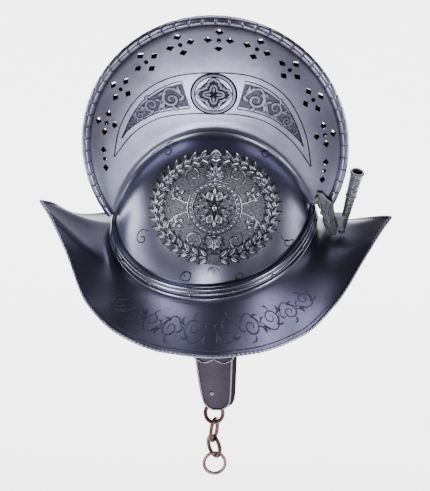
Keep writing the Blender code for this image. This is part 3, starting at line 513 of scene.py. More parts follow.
def curl(centre, radius, start, turns, count=26):
    """Flat points of a scroll that winds in to its eye."""
    points = []
    for k in range(count + 1):
        t = k / count
        angle = start + 2 * math.pi * turns * t
        points.append(centre + direction(angle) * radius * (1 - 0.80 * t))
    return points


def bow(start, end, bulge, count=12):
    """Flat points of an arc between two points that bulges sideways by a share of its length."""
    chord = end - start
    side = Vector((-chord.y, chord.x))
    return [
        start + chord * (k / count) + side * (bulge * math.sin(math.pi * k / count))
        for k in range(count + 1)
    ]


def running_scroll(length, height_at, lobes, shrink):
    """Bars of a vine in (along, across) metres: a wavy stem, a curl in each lobe and leaves."""
    sizes = [shrink**k for k in range(lobes)]
    edges = [length * sum(sizes[:k]) / sum(sizes) for k in range(lobes + 1)]
    bars = []
    for k in range(lobes):
        low, high = edges[k], edges[k + 1]
        middle, side = (low + high) / 2, 1 if k % 2 == 0 else -1
        room = height_at(middle)
        reach = (high - low) / 2
        stem = [
            Vector((low + (high - low) * t, side * room * (0.92 * math.sin(math.pi * t) - 0.12)))
            for t in [j / 14 for j in range(15)]
        ]
        bars.append((stem, tapered(15, 0.085 * room, 0.6, 0.6, 0.5)))
        size = min(reach, room) * 0.74
        heart = Vector((middle + 0.10 * reach, -side * 0.10 * room))
        start = math.radians(75 * side)
        bars.append(
            (curl(heart, size, start, -1.35 * side), tapered(27, 0.10 * room, 0.8, 0.5, 0.2))
        )
        for turn, grow in ((0.1, 0.50), (0.9, 0.62), (1.7, 0.56), (2.6, 0.46)):
            angle = start - side * 2 * math.pi * turn / 4
            base = heart + direction(angle) * size * 0.92
            tip = heart + direction(angle - 0.5 * side) * size * (1 + grow)
            bars.append((bow(base, tip, 0.22 * side, 8), tapered(9, 0.13 * room, 0.5, 0.08, 0.45)))
        corner = Vector((low + 0.12 * reach, side * 0.30 * room))
        for lean, far in ((0.2, 0.62), (0.75, 0.55)):
            tip = corner + Vector((math.cos(lean + 0.8), side * math.sin(lean + 0.8))) * room * far
            bars.append((bow(corner, tip, -0.2 * side, 8), tapered(9, 0.11 * room, 0.4, 0.08, 0.4)))
    return bars


def along_rows(rows, t):
    """A smooth curve through rows of points, t from 0 at the first to 1 at the last."""
    place = min(max(t, 0.0), 0.99999) * (len(rows) - 1)
    k = int(place)
    t = place - k
    a, b, c, d = (Vector(rows[min(max(k + j, 0), len(rows) - 1)]) for j in (-1, 0, 1, 2))
    bend, twist = 2 * a - 5 * b + 4 * c - d, 3 * b - a - 3 * c + d
    return 0.5 * (2 * b + (c - a) * t + bend * t * t + twist * t**3)


def crescent_point(t, share):
    """A point of a crescent, t from its front tip to its rear one, share 0 inside and 1 outside."""
    return along_rows(CRESCENT_INNER, t).lerp(along_rows(CRESCENT_OUTER, t), share)


def crescent_width(t):
    return (along_rows(CRESCENT_OUTER, t) - along_rows(CRESCENT_INNER, t)).length


def panel_edges(first, last, inset, count):
    """Outer and inner outline of a crescent panel, a distance inside the crescent's edges."""
    outer, inner = [], []
    for k in range(count + 1):
        t = first + (last - first) * k / count
        share = min(inset / max(crescent_width(t), 1e-6), 0.46)
        outer.append(crescent_point(t, 1 - share))
        inner.append(crescent_point(t, share))
    return outer, inner


crescent_bm = relief_mesh()
# The border runs round the whole crescent, under the roundel too
border_outer, border_inner = panel_edges(0.006, 0.994, 0.0, 110)
border = border_outer + border_inner[::-1]
add_strip(crescent_bm, border, LINE_HALF, LINE_HEIGHT, CUT_LINE, on_flank, closed=True)
for first, last in PANEL_SPANS:
    outer, inner = panel_edges(first, last, PANEL_INSET, 46)
    outline = outer + inner[::-1]
    add_strip(crescent_bm, outline, LINE_HALF, LINE_HEIGHT, CUT_LINE, on_flank, closed=True)
    # Matted ground of the panel, a thin skin inside its outline
    ground_rows = []
    for a, b in zip(outer, inner):
        row = []
        for j in range(9):
            spot = a.lerp(b, j / 8)
            place, normal = on_flank(spot.x, spot.y)
            lift = GROUND_LIFT if 0 < j < 8 else -0.0002
            row.append(add_point(crescent_bm, place + normal * lift, 0.6))
        ground_rows.append(row)
    join_rows(crescent_bm, ground_rows)
    # The scroll follows the panel's middle line
    fine = [first + (last - first) * k / 200 for k in range(201)]
    middle_line = [crescent_point(t, 0.5) for t in fine]
    runs = np.cumsum([0.0] + [(b - a).length for a, b in zip(middle_line, middle_line[1:])])
    room_line = [max(0.5 * crescent_width(t) - 0.0068, 0.0008) for t in fine]

    def room_at(along):
        return float(np.interp(along, runs, room_line))

    def on_panel(along, across):
        t = float(np.interp(along, runs, fine))
        spot = crescent_point(t, 0.5 + across / max(crescent_width(t), 1e-4))
        return on_flank(spot.x, spot.y)

    for path, widths in running_scroll(float(runs[-1]) * 0.93, room_at, 5, 0.82):
        path = [point + Vector((0.0025, 0.0)) for point in path]
        add_strip(crescent_bm, path, [1.7 * w for w in widths], 0.0009, RAISED, on_panel)

# Roundel in the middle of the crescent: two turned rings round a lobed cross with a star
for radius, half, section in (
    (1.0, 0.0008, CUT_LINE), (0.93, 0.0010, RAISED), (0.84, 0.0006, CUT_LINE)
):
    ring = [ROUNDEL_CENTRE + direction(a) * ROUNDEL_RADIUS * radius for a in around(72)]
    add_strip(crescent_bm, ring, half, 0.0004, section, on_flank, closed=True)
sunk = Vector((0.0, GROUND_LIFT, 0.0))
hub = add_point(crescent_bm, on_flank(*ROUNDEL_CENTRE)[0] - sunk, 0.95)
rim = []
for a in around(48):
    spot = ROUNDEL_CENTRE + direction(a) * ROUNDEL_RADIUS * 0.66
    rim.append(add_point(crescent_bm, on_flank(*spot)[0] - sunk, 0.8))
for k in range(48):
    crescent_bm.faces.new((hub, rim[k], rim[(k + 1) % 48]))
lobed = []
for a in around(144):
    reach = 0.60 + 0.13 * math.cos(4 * a) + 0.035 * math.cos(20 * a)
    lobed.append(ROUNDEL_CENTRE + direction(a) * ROUNDEL_RADIUS * reach)
add_strip(crescent_bm, lobed, 0.0017, 0.0012, RAISED, on_flank, closed=True)
star = []
for a in around(64):
    reach = 0.34 + 0.11 * math.cos(4 * a)
    star.append(ROUNDEL_CENTRE + direction(a) * ROUNDEL_RADIUS * reach)
add_strip(crescent_bm, star, 0.0013, 0.0012, RAISED, on_flank, closed=True)
for a in around(4):
    base = ROUNDEL_CENTRE + direction(a) * 0.0026
    tip = ROUNDEL_CENTRE + direction(a) * 0.0086
    add_strip(crescent_bm, bow(base, tip, 0.0, 8), tapered(9, 0.0020), 0.0014, RAISED, on_flank)


def mirrored(piece, smooth=60.0):
    """A piece's mirror image for the helmet's right side."""
    bm = bmesh.new()
    bm.from_mesh(piece.data)
    bmesh.ops.scale(bm, vec=Vector((1, -1, 1)), verts=bm.verts)
    return finished(bm, piece.name.replace("left", "right"), smooth)


def both_sides(bm, left_name, smooth=60.0):
    """A piece for the helmet's left side and its mirror image for the right side."""
    left = finished(bm, left_name, smooth)
    return left, mirrored(left, smooth)


for piece in both_sides(crescent_bm, "crescent_left"):
    dressed(piece, skull_steel, "polished_steel")

# Side medallions. Each plaque is struck in thin steel over the skull: a punched dark ground, a
# closed wreath of leaves with berries round it, a rosette in a ring of pearls in its middle,
# and palmettes, scrolls and small flowers between them. The raised parts are polished bright.
MEDALLION_X = 0.0033
MEDALLION_RISE = math.radians(36.0)
MEDALLION_UP = 0.0325
MEDALLION_HALF = (0.0630, 0.0540)
MEDALLION_AXIS = Vector((0.0, -math.cos(MEDALLION_RISE), math.sin(MEDALLION_RISE)))
MEDALLION_ABOVE = Vector((0.0, math.sin(MEDALLION_RISE), math.cos(MEDALLION_RISE)))


def on_dome(u, v):
    spot = Vector((MEDALLION_X + u, 0.0, 0.0)) + MEDALLION_ABOVE * (MEDALLION_UP + v)
    return ray_onto(skull_tree, spot + MEDALLION_AXIS * 0.3, -MEDALLION_AXIS)


def oval(share, angle):
    return Vector((MEDALLION_HALF[0] * math.cos(angle), MEDALLION_HALF[1] * math.sin(angle))) * share


ground_bm = relief_mesh()
ground_rows = []
GROUND_STEPS = (
    # share of the oval, lift
    (0.02, 0.0010),
    (0.2, 0.0010),
    (0.4, 0.0010),
    (0.6, 0.0010),
    (0.8, 0.0010),
    (0.95, 0.0009),
    (0.985, 0.0006),
    (1.0, -0.0004),
)
for share, lift in GROUND_STEPS:
    row = []
    for a in around(96):
        spot = oval(share * (1 + 0.012 * math.cos(13 * a)), a)
        place, normal = on_dome(spot.x, spot.y)
        row.append(add_point(ground_bm, place + normal * lift, 0.98 if share > 0.94 else 0.86))
    ground_rows.append(row)
join_rows(ground_bm, ground_rows, closed_columns=True)
ground_bm.faces.new(ground_rows[0])
stippled_steel = burnished_steel("stippled_steel_ground", 0, bright="8f8e99", rough=0.40, pits=0.5)
for piece, side in zip(both_sides(ground_bm, "medallion_ground_left"), ("left", "right")):
    dressed(piece, stippled_steel, "polished_steel", f"medallion_{side}")

# Small parts of the wreath, rosette, pearls and flowers, each modelled once and set on its places
LEAF_SECTION = symmetric(((-1, -0.25, 1), (-0.9, 0.25, 0.7), (-0.5, 0.9, 0.05), (0, 0.45, 0.6)))


def flat_sheet(u, v):
    return Vector((u, v, 0.0)), Vector((0, 0, 1))


def model_leaf(name, half, height, section=LEAF_SECTION, blunt=0.85):
    """A leaf one metre long from its stalk at the origin along +X, scaled where it is set."""
    bm = relief_mesh()
    path = [Vector((k / 8, 0.0)) for k in range(9)]
    widths = [max(half * math.sin(math.pi * (k / 8) ** blunt), 0.03) for k in range(9)]
    add_strip(bm, path, widths, height, section, flat_sheet)
    return finished(bm, name, 70.0)


def model_pearl(name):
    """A bead one metre across on its place, flattened a little."""
    bm = relief_mesh()
    bmesh.ops.create_uvsphere(bm, u_segments=10, v_segments=7, radius=0.5)
    layer = bm.verts.layers.float["patina"]
    for vert in bm.verts:
        vert[layer] = 0.0 if vert.co.z > 0.1 else 0.9
        vert.co.z *= 0.85
    return finished(bm, name, 80.0)


def set_on_places(name, model, places, material):
    """Geometry Nodes: a model set on points, each turned and scaled by the points' own values."""
    holder = bpy.data.meshes.new(name)
    holder.from_pydata([tuple(place) for place, _, _ in places], [], [])
    holder.attributes.new("facing", "FLOAT_VECTOR", "POINT")
    holder.attributes.new("size", "FLOAT", "POINT")
    holder.attributes["facing"].data.foreach_set(
        "vector", [c for _, turn, _ in places for c in turn]
    )
    holder.attributes["size"].data.foreach_set("value", [scale for _, _, scale in places])
    tree = bpy.data.node_groups.new(name, "GeometryNodeTree")
    tree.interface.new_socket("Geometry", in_out="INPUT", socket_type="NodeSocketGeometry")
    model_socket = tree.interface.new_socket(
        "Model", in_out="INPUT", socket_type="NodeSocketObject"
    )
    scale_socket = tree.interface.new_socket(
        "Overall scale", in_out="INPUT", socket_type="NodeSocketFloat"
    )
    steel_socket = tree.interface.new_socket(
        "Finish", in_out="INPUT", socket_type="NodeSocketMaterial"
    )
    tree.interface.new_socket("Geometry", in_out="OUTPUT", socket_type="NodeSocketGeometry")
    start = add_node(tree, "NodeGroupInput")
    source = add_node(tree, "GeometryNodeObjectInfo", {"Object": (start, "Model")})
    turned = add_node(tree, "GeometryNodeInputNamedAttribute", data_type="FLOAT_VECTOR")
    turned.inputs["Name"].default_value = "facing"
    sized = add_node(tree, "GeometryNodeInputNamedAttribute", data_type="FLOAT")
    sized.inputs["Name"].default_value = "size"
    scaled = add_node(tree, "ShaderNodeMath", operation="MULTIPLY")
    tree.links.new(sized.outputs["Attribute"], scaled.inputs[0])
    tree.links.new(start.outputs["Overall scale"], scaled.inputs[1])
    links = {
        "Points": (start, "Geometry"),
        "Instance": (source, "Geometry"),
        "Rotation": (turned, "Attribute"),
        "Scale": (scaled, "Value"),
    }
    placed = add_node(tree, "GeometryNodeInstanceOnPoints", links)
    real = add_node(tree, "GeometryNodeRealizeInstances", {"Geometry": (placed, "Instances")})
    coated = add_node(
        tree, "GeometryNodeSetMaterial", {
            "Geometry": (real, "Geometry"), "Material": (start, "Finish")
        }
    )
    add_node(tree, "NodeGroupOutput", {"Geometry": (coated, "Geometry")})
    made = bpy.data.objects.new(name, holder)
    bpy.context.scene.collection.objects.link(made)
    repeat = made.modifiers.new("repeat", "NODES")
    repeat.node_group = tree
    repeat[model_socket.identifier] = model
    repeat[scale_socket.identifier] = 1.0
    repeat[steel_socket.identifier] = material
    return evaluated_copy(made, name)


def laid(onto, point, angle, length, sink=0.0):
    """Place, turn and size of a small part that lies along an angle on a surface."""
    place, normal = onto(point.x, point.y)
    near, _ = onto(point.x + 0.0012 * math.cos(angle), point.y + 0.0012 * math.sin(angle))
    along = near - place
    along = (along - normal * along.dot(normal)).normalized()
    across = normal.cross(along)
    turn = Matrix((along, across, normal)).transposed().to_euler()
    return place + normal * (0.0009 - sink), turn, length


WREATH_STEPS = 18
WREATH_END = 84
WREATH_ROWS = (
    # share of the oval, lean, length
    (0.865, -0.70, 0.0118),
    (0.870, 0.0, 0.0108),
    (0.845, 0.74, 0.0118),
)
FLOWER_OUT = 0.0350
FLOWERS = (
    # height, petal length
    (0.0125, 0.0072),
    (-0.0135, 0.0066),
)
PALMETTE_OUT = 0.0268
PALMETTE = (
    # lean, length
    (0.0, 0.0165),
    (0.45, 0.0155),
    (-0.45, 0.0155),
    (0.9, 0.0130),
    (-0.9, 0.0130),
    (1.35, 0.0105),
    (-1.35, 0.0105),
)
leaf_model = model_leaf("wreath_leaf", 0.25, 0.17)
petal_model = model_leaf("rosette_petal", 0.31, 0.17, blunt=1.25)
pearl_model = model_pearl("bead")
leaf_places, petal_places, pearl_places = [], [], []
for side in (1, -1):
    for k in range(WREATH_STEPS + 1):
        along = math.radians(-WREATH_END + 2 * WREATH_END * k / WREATH_STEPS)
        angle = along if side > 0 else math.pi - along
        heading = math.atan2(
            MEDALLION_HALF[1] * math.cos(angle), -MEDALLION_HALF[0] * math.sin(angle)
        )
        heading += 0.0 if side > 0 else math.pi
        for share, lean, length in WREATH_ROWS:
            spot = oval(share, angle)
            leaf_places.append(laid(on_dome, spot, heading + lean * side, length))
        if k % 3 == 1:
            pearl_places.append(laid(on_dome, oval(0.75, angle + 0.03), 0.0, 0.0026))
            pearl_places.append(laid(on_dome, oval(0.955, angle + 0.05), 0.0, 0.0022))
for angle in around(8):
    angle += math.pi / 8
    petal_places.append(laid(on_dome, direction(angle) * 0.0030, angle, 0.0150))
    angle += math.pi / 8
    leaf_places.append(laid(on_dome, direction(angle) * 0.0100, angle, 0.0105))
pearl_places.append(laid(on_dome, Vector((0.0, 0.0)), 0.0, 0.0075, 0.001))
for angle in around(32):
    pearl_places.append(laid(on_dome, direction(angle) * 0.0225, 0.0, 0.0033, 0.0004))
for side in (1, -1):
    for height, reach in FLOWERS:
        centre = Vector((side * FLOWER_OUT, height))
        for angle in around(5):
            angle += math.pi / 2
            start = centre + direction(angle) * 0.0010
            petal_places.append(laid(on_dome, start, angle, reach))
        pearl_places.append(laid(on_dome, centre, 0.0, 0.0030, 0.0002))
for side in (1, -1):
    foot = Vector((0.0, side * PALMETTE_OUT))
    for lean, length in PALMETTE:
        leaf_places.append(laid(on_dome, foot, side * math.pi / 2 + lean, length))
    pearl_places.append(laid(on_dome, foot, 0.0, 0.0040, 0.0002))
wreath_steel = burnished_steel("chased_relief_steel", 0, bright="bebdcc", rough=0.24, mottle=0.3)
relief_parts = [
    set_on_places("wreath_leaves_left", leaf_model, leaf_places, wreath_steel),
    set_on_places("petals_left", petal_model, petal_places, wreath_steel),
    set_on_places("pearls_left", pearl_model, pearl_places, wreath_steel),
]
for model in (leaf_model, petal_model, pearl_model):
    bpy.data.objects.remove(model, do_unlink=True)

stems_bm = relief_mesh()
rim = [oval(0.80, a) for a in around(120)]
add_strip(stems_bm, rim, 0.0007, 0.0021, RAISED, on_dome, closed=True)
for radius in (0.0200, 0.0250):
    ring = [direction(a) * radius for a in around(72)]
    add_strip(stems_bm, ring, 0.0007, 0.0022, RAISED, on_dome, closed=True)
for side in (1, -1):
    for up in (1, -1):
        wind = side * up
        first = -60 if wind > 0 else (240 if side < 0 else 60)
        path = curl(Vector((side * 0.0200, up * 0.0300)), 0.0088, math.radians(first), 1.15 * wind)
        add_strip(stems_bm, path, tapered(27, 0.0012, 0.6, 0.6), 0.0024, RAISED, on_dome)
        low, high = Vector((side * 0.0250, up * 0.0040)), Vector((side * 0.0410, up * 0.0330))
        stem = bow(low, high, -0.30 * wind, 16)
        add_strip(stems_bm, stem, tapered(17, 0.0011, 0.8, 0.2), 0.0022, RAISED, on_dome)
        for t, far, lean in ((0.35, 0.0085, 0.9), (0.6, 0.0080, -0.8), (0.8, 0.0070, 0.7)):
            base = stem[int(16 * t)]
            way = (stem[int(16 * t) + 1] - base).normalized()
            angle = math.atan2(way.y, way.x) + lean * wind
            tip = base + direction(angle) * far
            leaf = bow(base, tip, 0.2, 8)
            add_strip(stems_bm, leaf, tapered(9, 0.0017, 0.4, 0.1), 0.0023, RAISED, on_dome)
relief_parts.append(finished(stems_bm, "stems_left", 60.0))
for part in relief_parts:
    for piece in (part, mirrored(part)):
        dressed(piece, wreath_steel, "polished_steel")

# Curls on the skull. Fine lines cut with a graver round each plaque, a small raised leaf below
# it, and a faint line along the comb's root.
curls_bm = relief_mesh()
for u, v, radius, start, turns in (
    (-0.026, -0.0640, 0.0065, 200, 1.1), (0.026, -0.0640, 0.0065, -20, -1.1),
    (-0.070, -0.0300, 0.0055, 150, 1.0), (0.070, -0.0300, 0.0055, 30, -1.0),
    (-0.047, 0.0530, 0.0050, 120, -1.0), (0.047, 0.0530, 0.0050, 60, 1.0),
):  # fmt: skip
    path = curl(Vector((u, v)), radius, math.radians(start), turns)
    add_strip(curls_bm, path, tapered(27, 0.00055, 0.8, 0.8), 0.0002, CUT_LINE, on_dome)
    tail = bow(path[0], path[0] + Vector((0.012 if u < 0 else -0.012, 0.004)), 0.3, 10)
    add_strip(curls_bm, tail, tapered(11, 0.00055, 0.8, 0.3), 0.0002, CUT_LINE, on_dome)
for lean in (-0.75, 0.0, 0.75):
    foot = Vector((0.0, -0.0555))
    tip = foot + Vector((math.sin(lean), -math.cos(lean))) * 0.0085
    add_strip(curls_bm, bow(foot, tip, 0.15 * lean, 8), tapered(9, 0.0016), 0.0004, RAISED, on_dome)
root_line = []
for k in range(61):
    x = -0.062 + 0.124 * k / 60
    crown = SKULL_HALF[2] * math.sqrt(1 - (x / SKULL_HALF[0]) ** 2)
    root_line.append(Vector((SKULL_X + x, SKULL_CENTRE_Z + crown + 0.0035)))
add_strip(curls_bm, root_line, 0.0004, 0.00015, CUT_LINE, on_flank)
for piece in both_sides(curls_bm, "skull_curls_left"):
    dressed(piece, skull_steel, "polished_steel")

# Rolled rim of the comb. The edge of the sheet is rolled over a wire and filed across like a
# rope, one cut about every 13 mm, so each turn stands as a low bead.
ROLL_CUTS = 42
roll_bm = bmesh.new()
roll_rows = []
roll_steps = ROLL_CUTS * 20
roll_shades = []
for k in range(roll_steps + 1):
    angle = COMB_ANGLES[0] + (COMB_ANGLES[1] - COMB_ANGLES[0]) * k / roll_steps
    centre = crest_point(angle, ROLL_RADIUS)
    out = (crest_point(angle, 0.0) - crest_point(angle, 0.01)).normalized()
    row = []
    for turn in around(16):
        phase = (k / 20 + 0.10 * math.sin(turn)) % 1.0
        cut = math.exp(-(((min(phase, 1 - phase)) / 0.035) ** 2))
        swell = 0.03 * math.sin(math.pi * phase)
        radius = ROLL_RADIUS * (0.97 + swell - 0.10 * cut)
        row.append(
            centre + out * (radius * math.cos(turn)) + Vector((0, radius * math.sin(turn), 0))
        )
        # Dark in the file cuts, and painted shade on the roll's inner side against the comb
        roll_shades.append(max(0.9 * cut, 0.9 if math.cos(turn) < -0.75 else 0.0))
    roll_rows.append(row)
roll_made = add_rows(roll_bm, roll_rows, closed_columns=True)
close_ends(roll_bm, roll_made)
comb_roll = finished(roll_bm, "comb_roll", 60.0)
store_patina_and_shade(comb_roll.data, roll_shades)
dressed(comb_roll, skull_steel, "polished_steel", "comb_rope")

# Brim. A separate sheet raised into a boat shape: it hangs steeply at the sides and sweeps up
# to a beak at each end. Its collar goes round the skull's skirt under the cordon.
BRIM_HALF_LENGTH = 0.1754
BRIM_HALF_WIDTH = 0.1305
BRIM_SIDE_Z = -0.0390
BRIM_RISES = (0.0862, 0.0765)
BRIM_SHEET = 0.0015
BRIM_STATIONS = 176
BRIM_ROWS = 18
# How far the plan angles crowd towards the beaks
BRIM_CROWDING = 0.30
# Shares that bend each section between collar and edge, and what the beaks add to them
ROOT_REACH = 0.06
ROOT_DROP, ROOT_END_DROP = 0.27, 0.12
EDGE_REACH, EDGE_END_REACH = 0.42, 0.08
EDGE_RISE = 0.34
KEEL_SAG = 0.385
COLLAR_TOP = 0.0068
COLLAR_BOTTOM = 0.0085
BRIM_FRONT = (
    # station, width, rise
    (0.00, 1.000, 0.000),
    (0.25, 0.956, 0.000),
    (0.50, 0.826, 0.064),
    (0.70, 0.592, 0.226),
    (0.85, 0.229, 0.594),
    (0.95, 0.070, 0.901),
    (1.00, 0.000, 1.000),
)
BRIM_REAR = (
    # station, width, rise
    (0.00, 1.000, 0.000),
    (0.25, 0.936, 0.000),
    (0.50, 0.762, 0.043),
    (0.70, 0.523, 0.291),
    (0.85, 0.254, 0.657),
    (0.95, 0.080, 0.903),
    (1.00, 0.000, 1.000),
)


def smooth_value(table, station, column):
    """Reads a table of shares with a curve that never overshoots its rows."""
    xs = [row[0] for row in table]
    ys = [row[column] for row in table]
    rises = [(ys[k + 1] - ys[k]) / (xs[k + 1] - xs[k]) for k in range(len(xs) - 1)]
    slopes = [0.0]
    for k in range(1, len(xs) - 1):
        a, b = rises[k - 1], rises[k]
        slopes.append(0.0 if a * b <= 0 else 2 * a * b / (a + b))
    slopes.append(rises[-1])
    k = min(max(0, int(np.searchsorted(xs, station, side="right")) - 1), len(xs) - 2)
    width = xs[k + 1] - xs[k]
    t = (station - xs[k]) / width
    t2, t3 = t * t, t * t * t
    return (
        ys[k] * (2 * t3 - 3 * t2 + 1)
        + slopes[k] * width * (t3 - 2 * t2 + t)
        + ys[k + 1] * (3 * t2 - 2 * t3)
        + slopes[k + 1] * width * (t3 - t2)
    )


def brim_edge(turn):
    along = math.cos(turn)
    table, rise = (BRIM_REAR, BRIM_RISES[1]) if along > 0 else (BRIM_FRONT, BRIM_RISES[0])
    side = -1 if math.sin(turn) > 0 else 1
    y = side * BRIM_HALF_WIDTH * smooth_value(table, abs(along), 1)
    z = BRIM_SIDE_Z + rise * smooth_value(table, abs(along), 2)
    return Vector((SKULL_X + BRIM_HALF_LENGTH * along, y, z))


def brim_point(turn, share):
    """A point of the brim's upper surface from its collar, share 0, to its edge, share 1."""
    root = ring_point(turn, -COLLAR_BOTTOM, 2 * GAP + BRIM_SHEET)
    edge = brim_edge(turn)
    out = Vector((edge.x - root.x, edge.y - root.y, 0.0))
    endward = abs(math.cos(turn)) ** 4
    steep = root + out * ROOT_REACH
    steep.z = root.z - (ROOT_DROP + ROOT_END_DROP * endward) * out.length
    flat = edge - out * (EDGE_REACH + EDGE_END_REACH * endward)
    side_z = edge.z + (root.z - edge.z) * EDGE_RISE
    flat.z = side_z + (edge.z - KEEL_SAG * BRIM_RISES[0] - side_z) * endward
    t = share
    inner = root * (1 - t) ** 3 + steep * (3 * t * (1 - t) ** 2)
    return inner + flat * (3 * t**2 * (1 - t)) + edge * t**3


def brim_turns(count):
    """Plan angles that crowd towards the two beaks."""
    return [t - BRIM_CROWDING * math.sin(2 * t) / 2 for t in around(count)]


brim_bm = bmesh.new()
brim_rows = []
for turn in brim_turns(BRIM_STATIONS):
    upper = [ring_point(turn, COLLAR_TOP, 2 * GAP + BRIM_SHEET)]
    lower = [ring_point(turn, COLLAR_TOP, 2 * GAP)]
    for k in range(BRIM_ROWS + 1):
        share = k / BRIM_ROWS
        point = brim_point(turn, share)
        ahead, behind = min(1.0, share + 0.02), max(0.0, share - 0.02)
        slope = brim_point(turn, ahead) - brim_point(turn, behind)
        side = Vector((slope.x, slope.y, 0.0))
        drop = Vector((side.x * slope.z, side.y * slope.z, -side.length_squared)).normalized()
        if k == 0:
            drop = Vector((-side.x, -side.y, 0.0)).normalized()
        upper.append(point)
        lower.append(point + drop * BRIM_SHEET)
    brim_rows.append(upper + lower[::-1])
add_rows(brim_bm, brim_rows, closed_columns=True, closed_rows=True)
brim = finished(brim_bm, "brim_sheet", 50.0)
brim_steel = burnished_steel(
    "patinated_brim_steel", 0, bright="555469", warm="423e50", rough=0.33, mottle=0.6
)
dressed(brim, brim_steel, "polished_steel", "brim")

# Engraving of the brim: a cut line near the cordon and one near the edge, and a running scroll
# with leaves between them along the lower half, all cut thin with a graver on both sides.
FIELD_WIDTH = 0.062
FIELD_LENGTH = 0.118
FIELD_START = 0.004
FIELD_MIDDLE = 0.60
LINE_RELIEF = 0.00018
SCROLL_RELIEF = 0.00022


def on_brim(along, share):
    """A point of the brim's left side at a distance from its middle along X and a share outward."""
    turn = math.acos(max(-1.0, min(1.0, -along / BRIM_HALF_LENGTH)))
    place = brim_point(turn, share)
    a, b = brim_point(turn + 0.01, share) - place, brim_point(turn, share - 0.01) - place
    normal = a.cross(b).normalized()
    return place, (normal if normal.z > 0 else -normal)


engraved_bm = relief_mesh()
for share, reach in ((0.12, 0.066), (0.935, FIELD_LENGTH)):
    line = [Vector((-reach + 2 * reach * k / 90, share)) for k in range(91)]

    def on_line(u, v):
        return on_brim(u, share + (v - share) / FIELD_WIDTH)

    add_strip(engraved_bm, line, LINE_HALF, LINE_RELIEF, FAINT_LINE, on_line)
for way in (1, -1):

    def on_field(along, across):
        return on_brim(way * (FIELD_START + along), FIELD_MIDDLE + across / FIELD_WIDTH)

    for path, widths in running_scroll(FIELD_LENGTH, lambda along: 0.0175 - 0.065 * along, 5, 0.88):
        widths = [max(0.6 * w, 0.00035) for w in widths]
        add_strip(engraved_bm, path, widths, SCROLL_RELIEF, FAINT_LINE, on_field)
for piece in both_sides(engraved_bm, "brim_engraving_left"):
    dressed(piece, brim_steel, "polished_steel")

# Rolled edge of the brim. A wire about 3 mm thick is rolled into the edge and nicked across,
# which leaves a narrow light line of beads all round.
EDGE_RADIUS = 0.0017
EDGE_BEADS = 240
EDGE_NICK = 0.80
EDGE_DROP = 0.0006
EDGE_STEPS = 1600


def edge_path(count):
    """Evenly spaced points along the brim's edge."""
    fine = [brim_edge(t) for t in brim_turns(EDGE_STEPS)]
    pairs = zip(fine, fine[1:] + fine[:1])
    lengths = np.cumsum([0.0] + [(b - a).length for a, b in pairs])
    points = []
    for k in range(count):
        place = lengths[-1] * k / count
        i = min(int(np.searchsorted(lengths, place, side="right")) - 1, EDGE_STEPS - 1)
        t = (place - lengths[i]) / max(lengths[i + 1] - lengths[i], 1e-9)
        points.append(fine[i].lerp(fine[(i + 1) % EDGE_STEPS], t))
    return points


edge_points = edge_path(EDGE_BEADS * 4)
edge_bm = bmesh.new()
edge_rows = []
count = len(edge_points)
for k, point in enumerate(edge_points):
    ahead = edge_points[(k + 1) % count] - edge_points[k - 1]
    forward = ahead.normalized()
    across = forward.cross(Vector((0, 0, 1))).normalized()
    up = across.cross(forward)
    radius = EDGE_RADIUS * (EDGE_NICK if k % 4 == 0 else 1.0)
    centre = point - Vector((0, 0, EDGE_DROP))
    edge_rows.append([centre + (across * math.cos(t) + up * math.sin(t)) * radius for t in around(8)])
add_rows(edge_bm, edge_rows, closed_columns=True, closed_rows=True)
brim_roll = finished(edge_bm, "brim_roll", 60.0)
dressed(brim_roll, skull_steel, "polished_steel")

# Cordon. A drawn steel strip with three rounded ridges, bent round the collar and held by
# sixteen domed rivets that go through cordon, collar and skirt.
CORDON_HALF_WIDTH = 0.0080
CORDON_THICKNESS = 0.0009
CORDON_FLUTE = 0.0018
CORDON_RIDGES = ((-0.66, 0.27, 1.0), (0.0, 0.30, 0.78), (0.66, 0.27, 1.0))
CORDON_STATIONS = 240
CORDON_ROWS = 36
RIVET_SEAT = 0.76
RIVET_RADIUS = 0.0019
RIVET_COUNT = 16
RIVET_SECTION = (
    # radius, height, patina
    (1.25, -0.10, 1.0),
    (1.00, 0.00, 0.9),
    (0.94, 0.22, 0.2),
    (0.72, 0.46, 0.0),
    (0.38, 0.62, 0.0),
    (0.10, 0.66, 0.0),
)


def cordon_profile(height):
    """Outward share of the flute's depth at a height share of half the cordon's width."""
    share = 0.0
    for middle, half, top in CORDON_RIDGES:
        off = (height - middle) / half
        if abs(off) < 1:
            share = max(share, top * math.sqrt(1 - off * off))
    return share


cordon_bm = bmesh.new()
cordon_rows = []
back = 3 * GAP + BRIM_SHEET
heights = [-1 + 2 * k / CORDON_ROWS for k in range(CORDON_ROWS + 1)]
for turn in around(CORDON_STATIONS):
    row = [
        ring_point(
            turn, CORDON_HALF_WIDTH * h, back + CORDON_THICKNESS + CORDON_FLUTE * cordon_profile(h)
        )
        for h in heights
    ]
    over = COLLAR_TOP + GAP
    for lift, outward in (
        (CORDON_HALF_WIDTH, GAP), (over, GAP), (over, back), (-CORDON_HALF_WIDTH, back)
    ):
        row.append(ring_point(turn, lift, outward))
    cordon_rows.append(row)
add_rows(cordon_bm, cordon_rows, closed_columns=True, closed_rows=True)
cordon = finished(cordon_bm, "cordon", 50.0)
# Dark between the ridges, and painted shade on the top lip against the skull and on the hidden back
cordon_shades = [max(0.0, 0.85 - 1.9 * cordon_profile(h)) for h in heights[:-2]]
cordon_shades += [0.2, 0.2, 0.5, 0.8, 1.0, 1.0]
store_patina_and_shade(cordon.data, cordon_shades * CORDON_STATIONS)
cordon_steel = burnished_steel("burnished_cordon_steel", 0, rough=0.2, mottle=0.3)
dressed(cordon, cordon_steel, "polished_steel", "cordon_band")


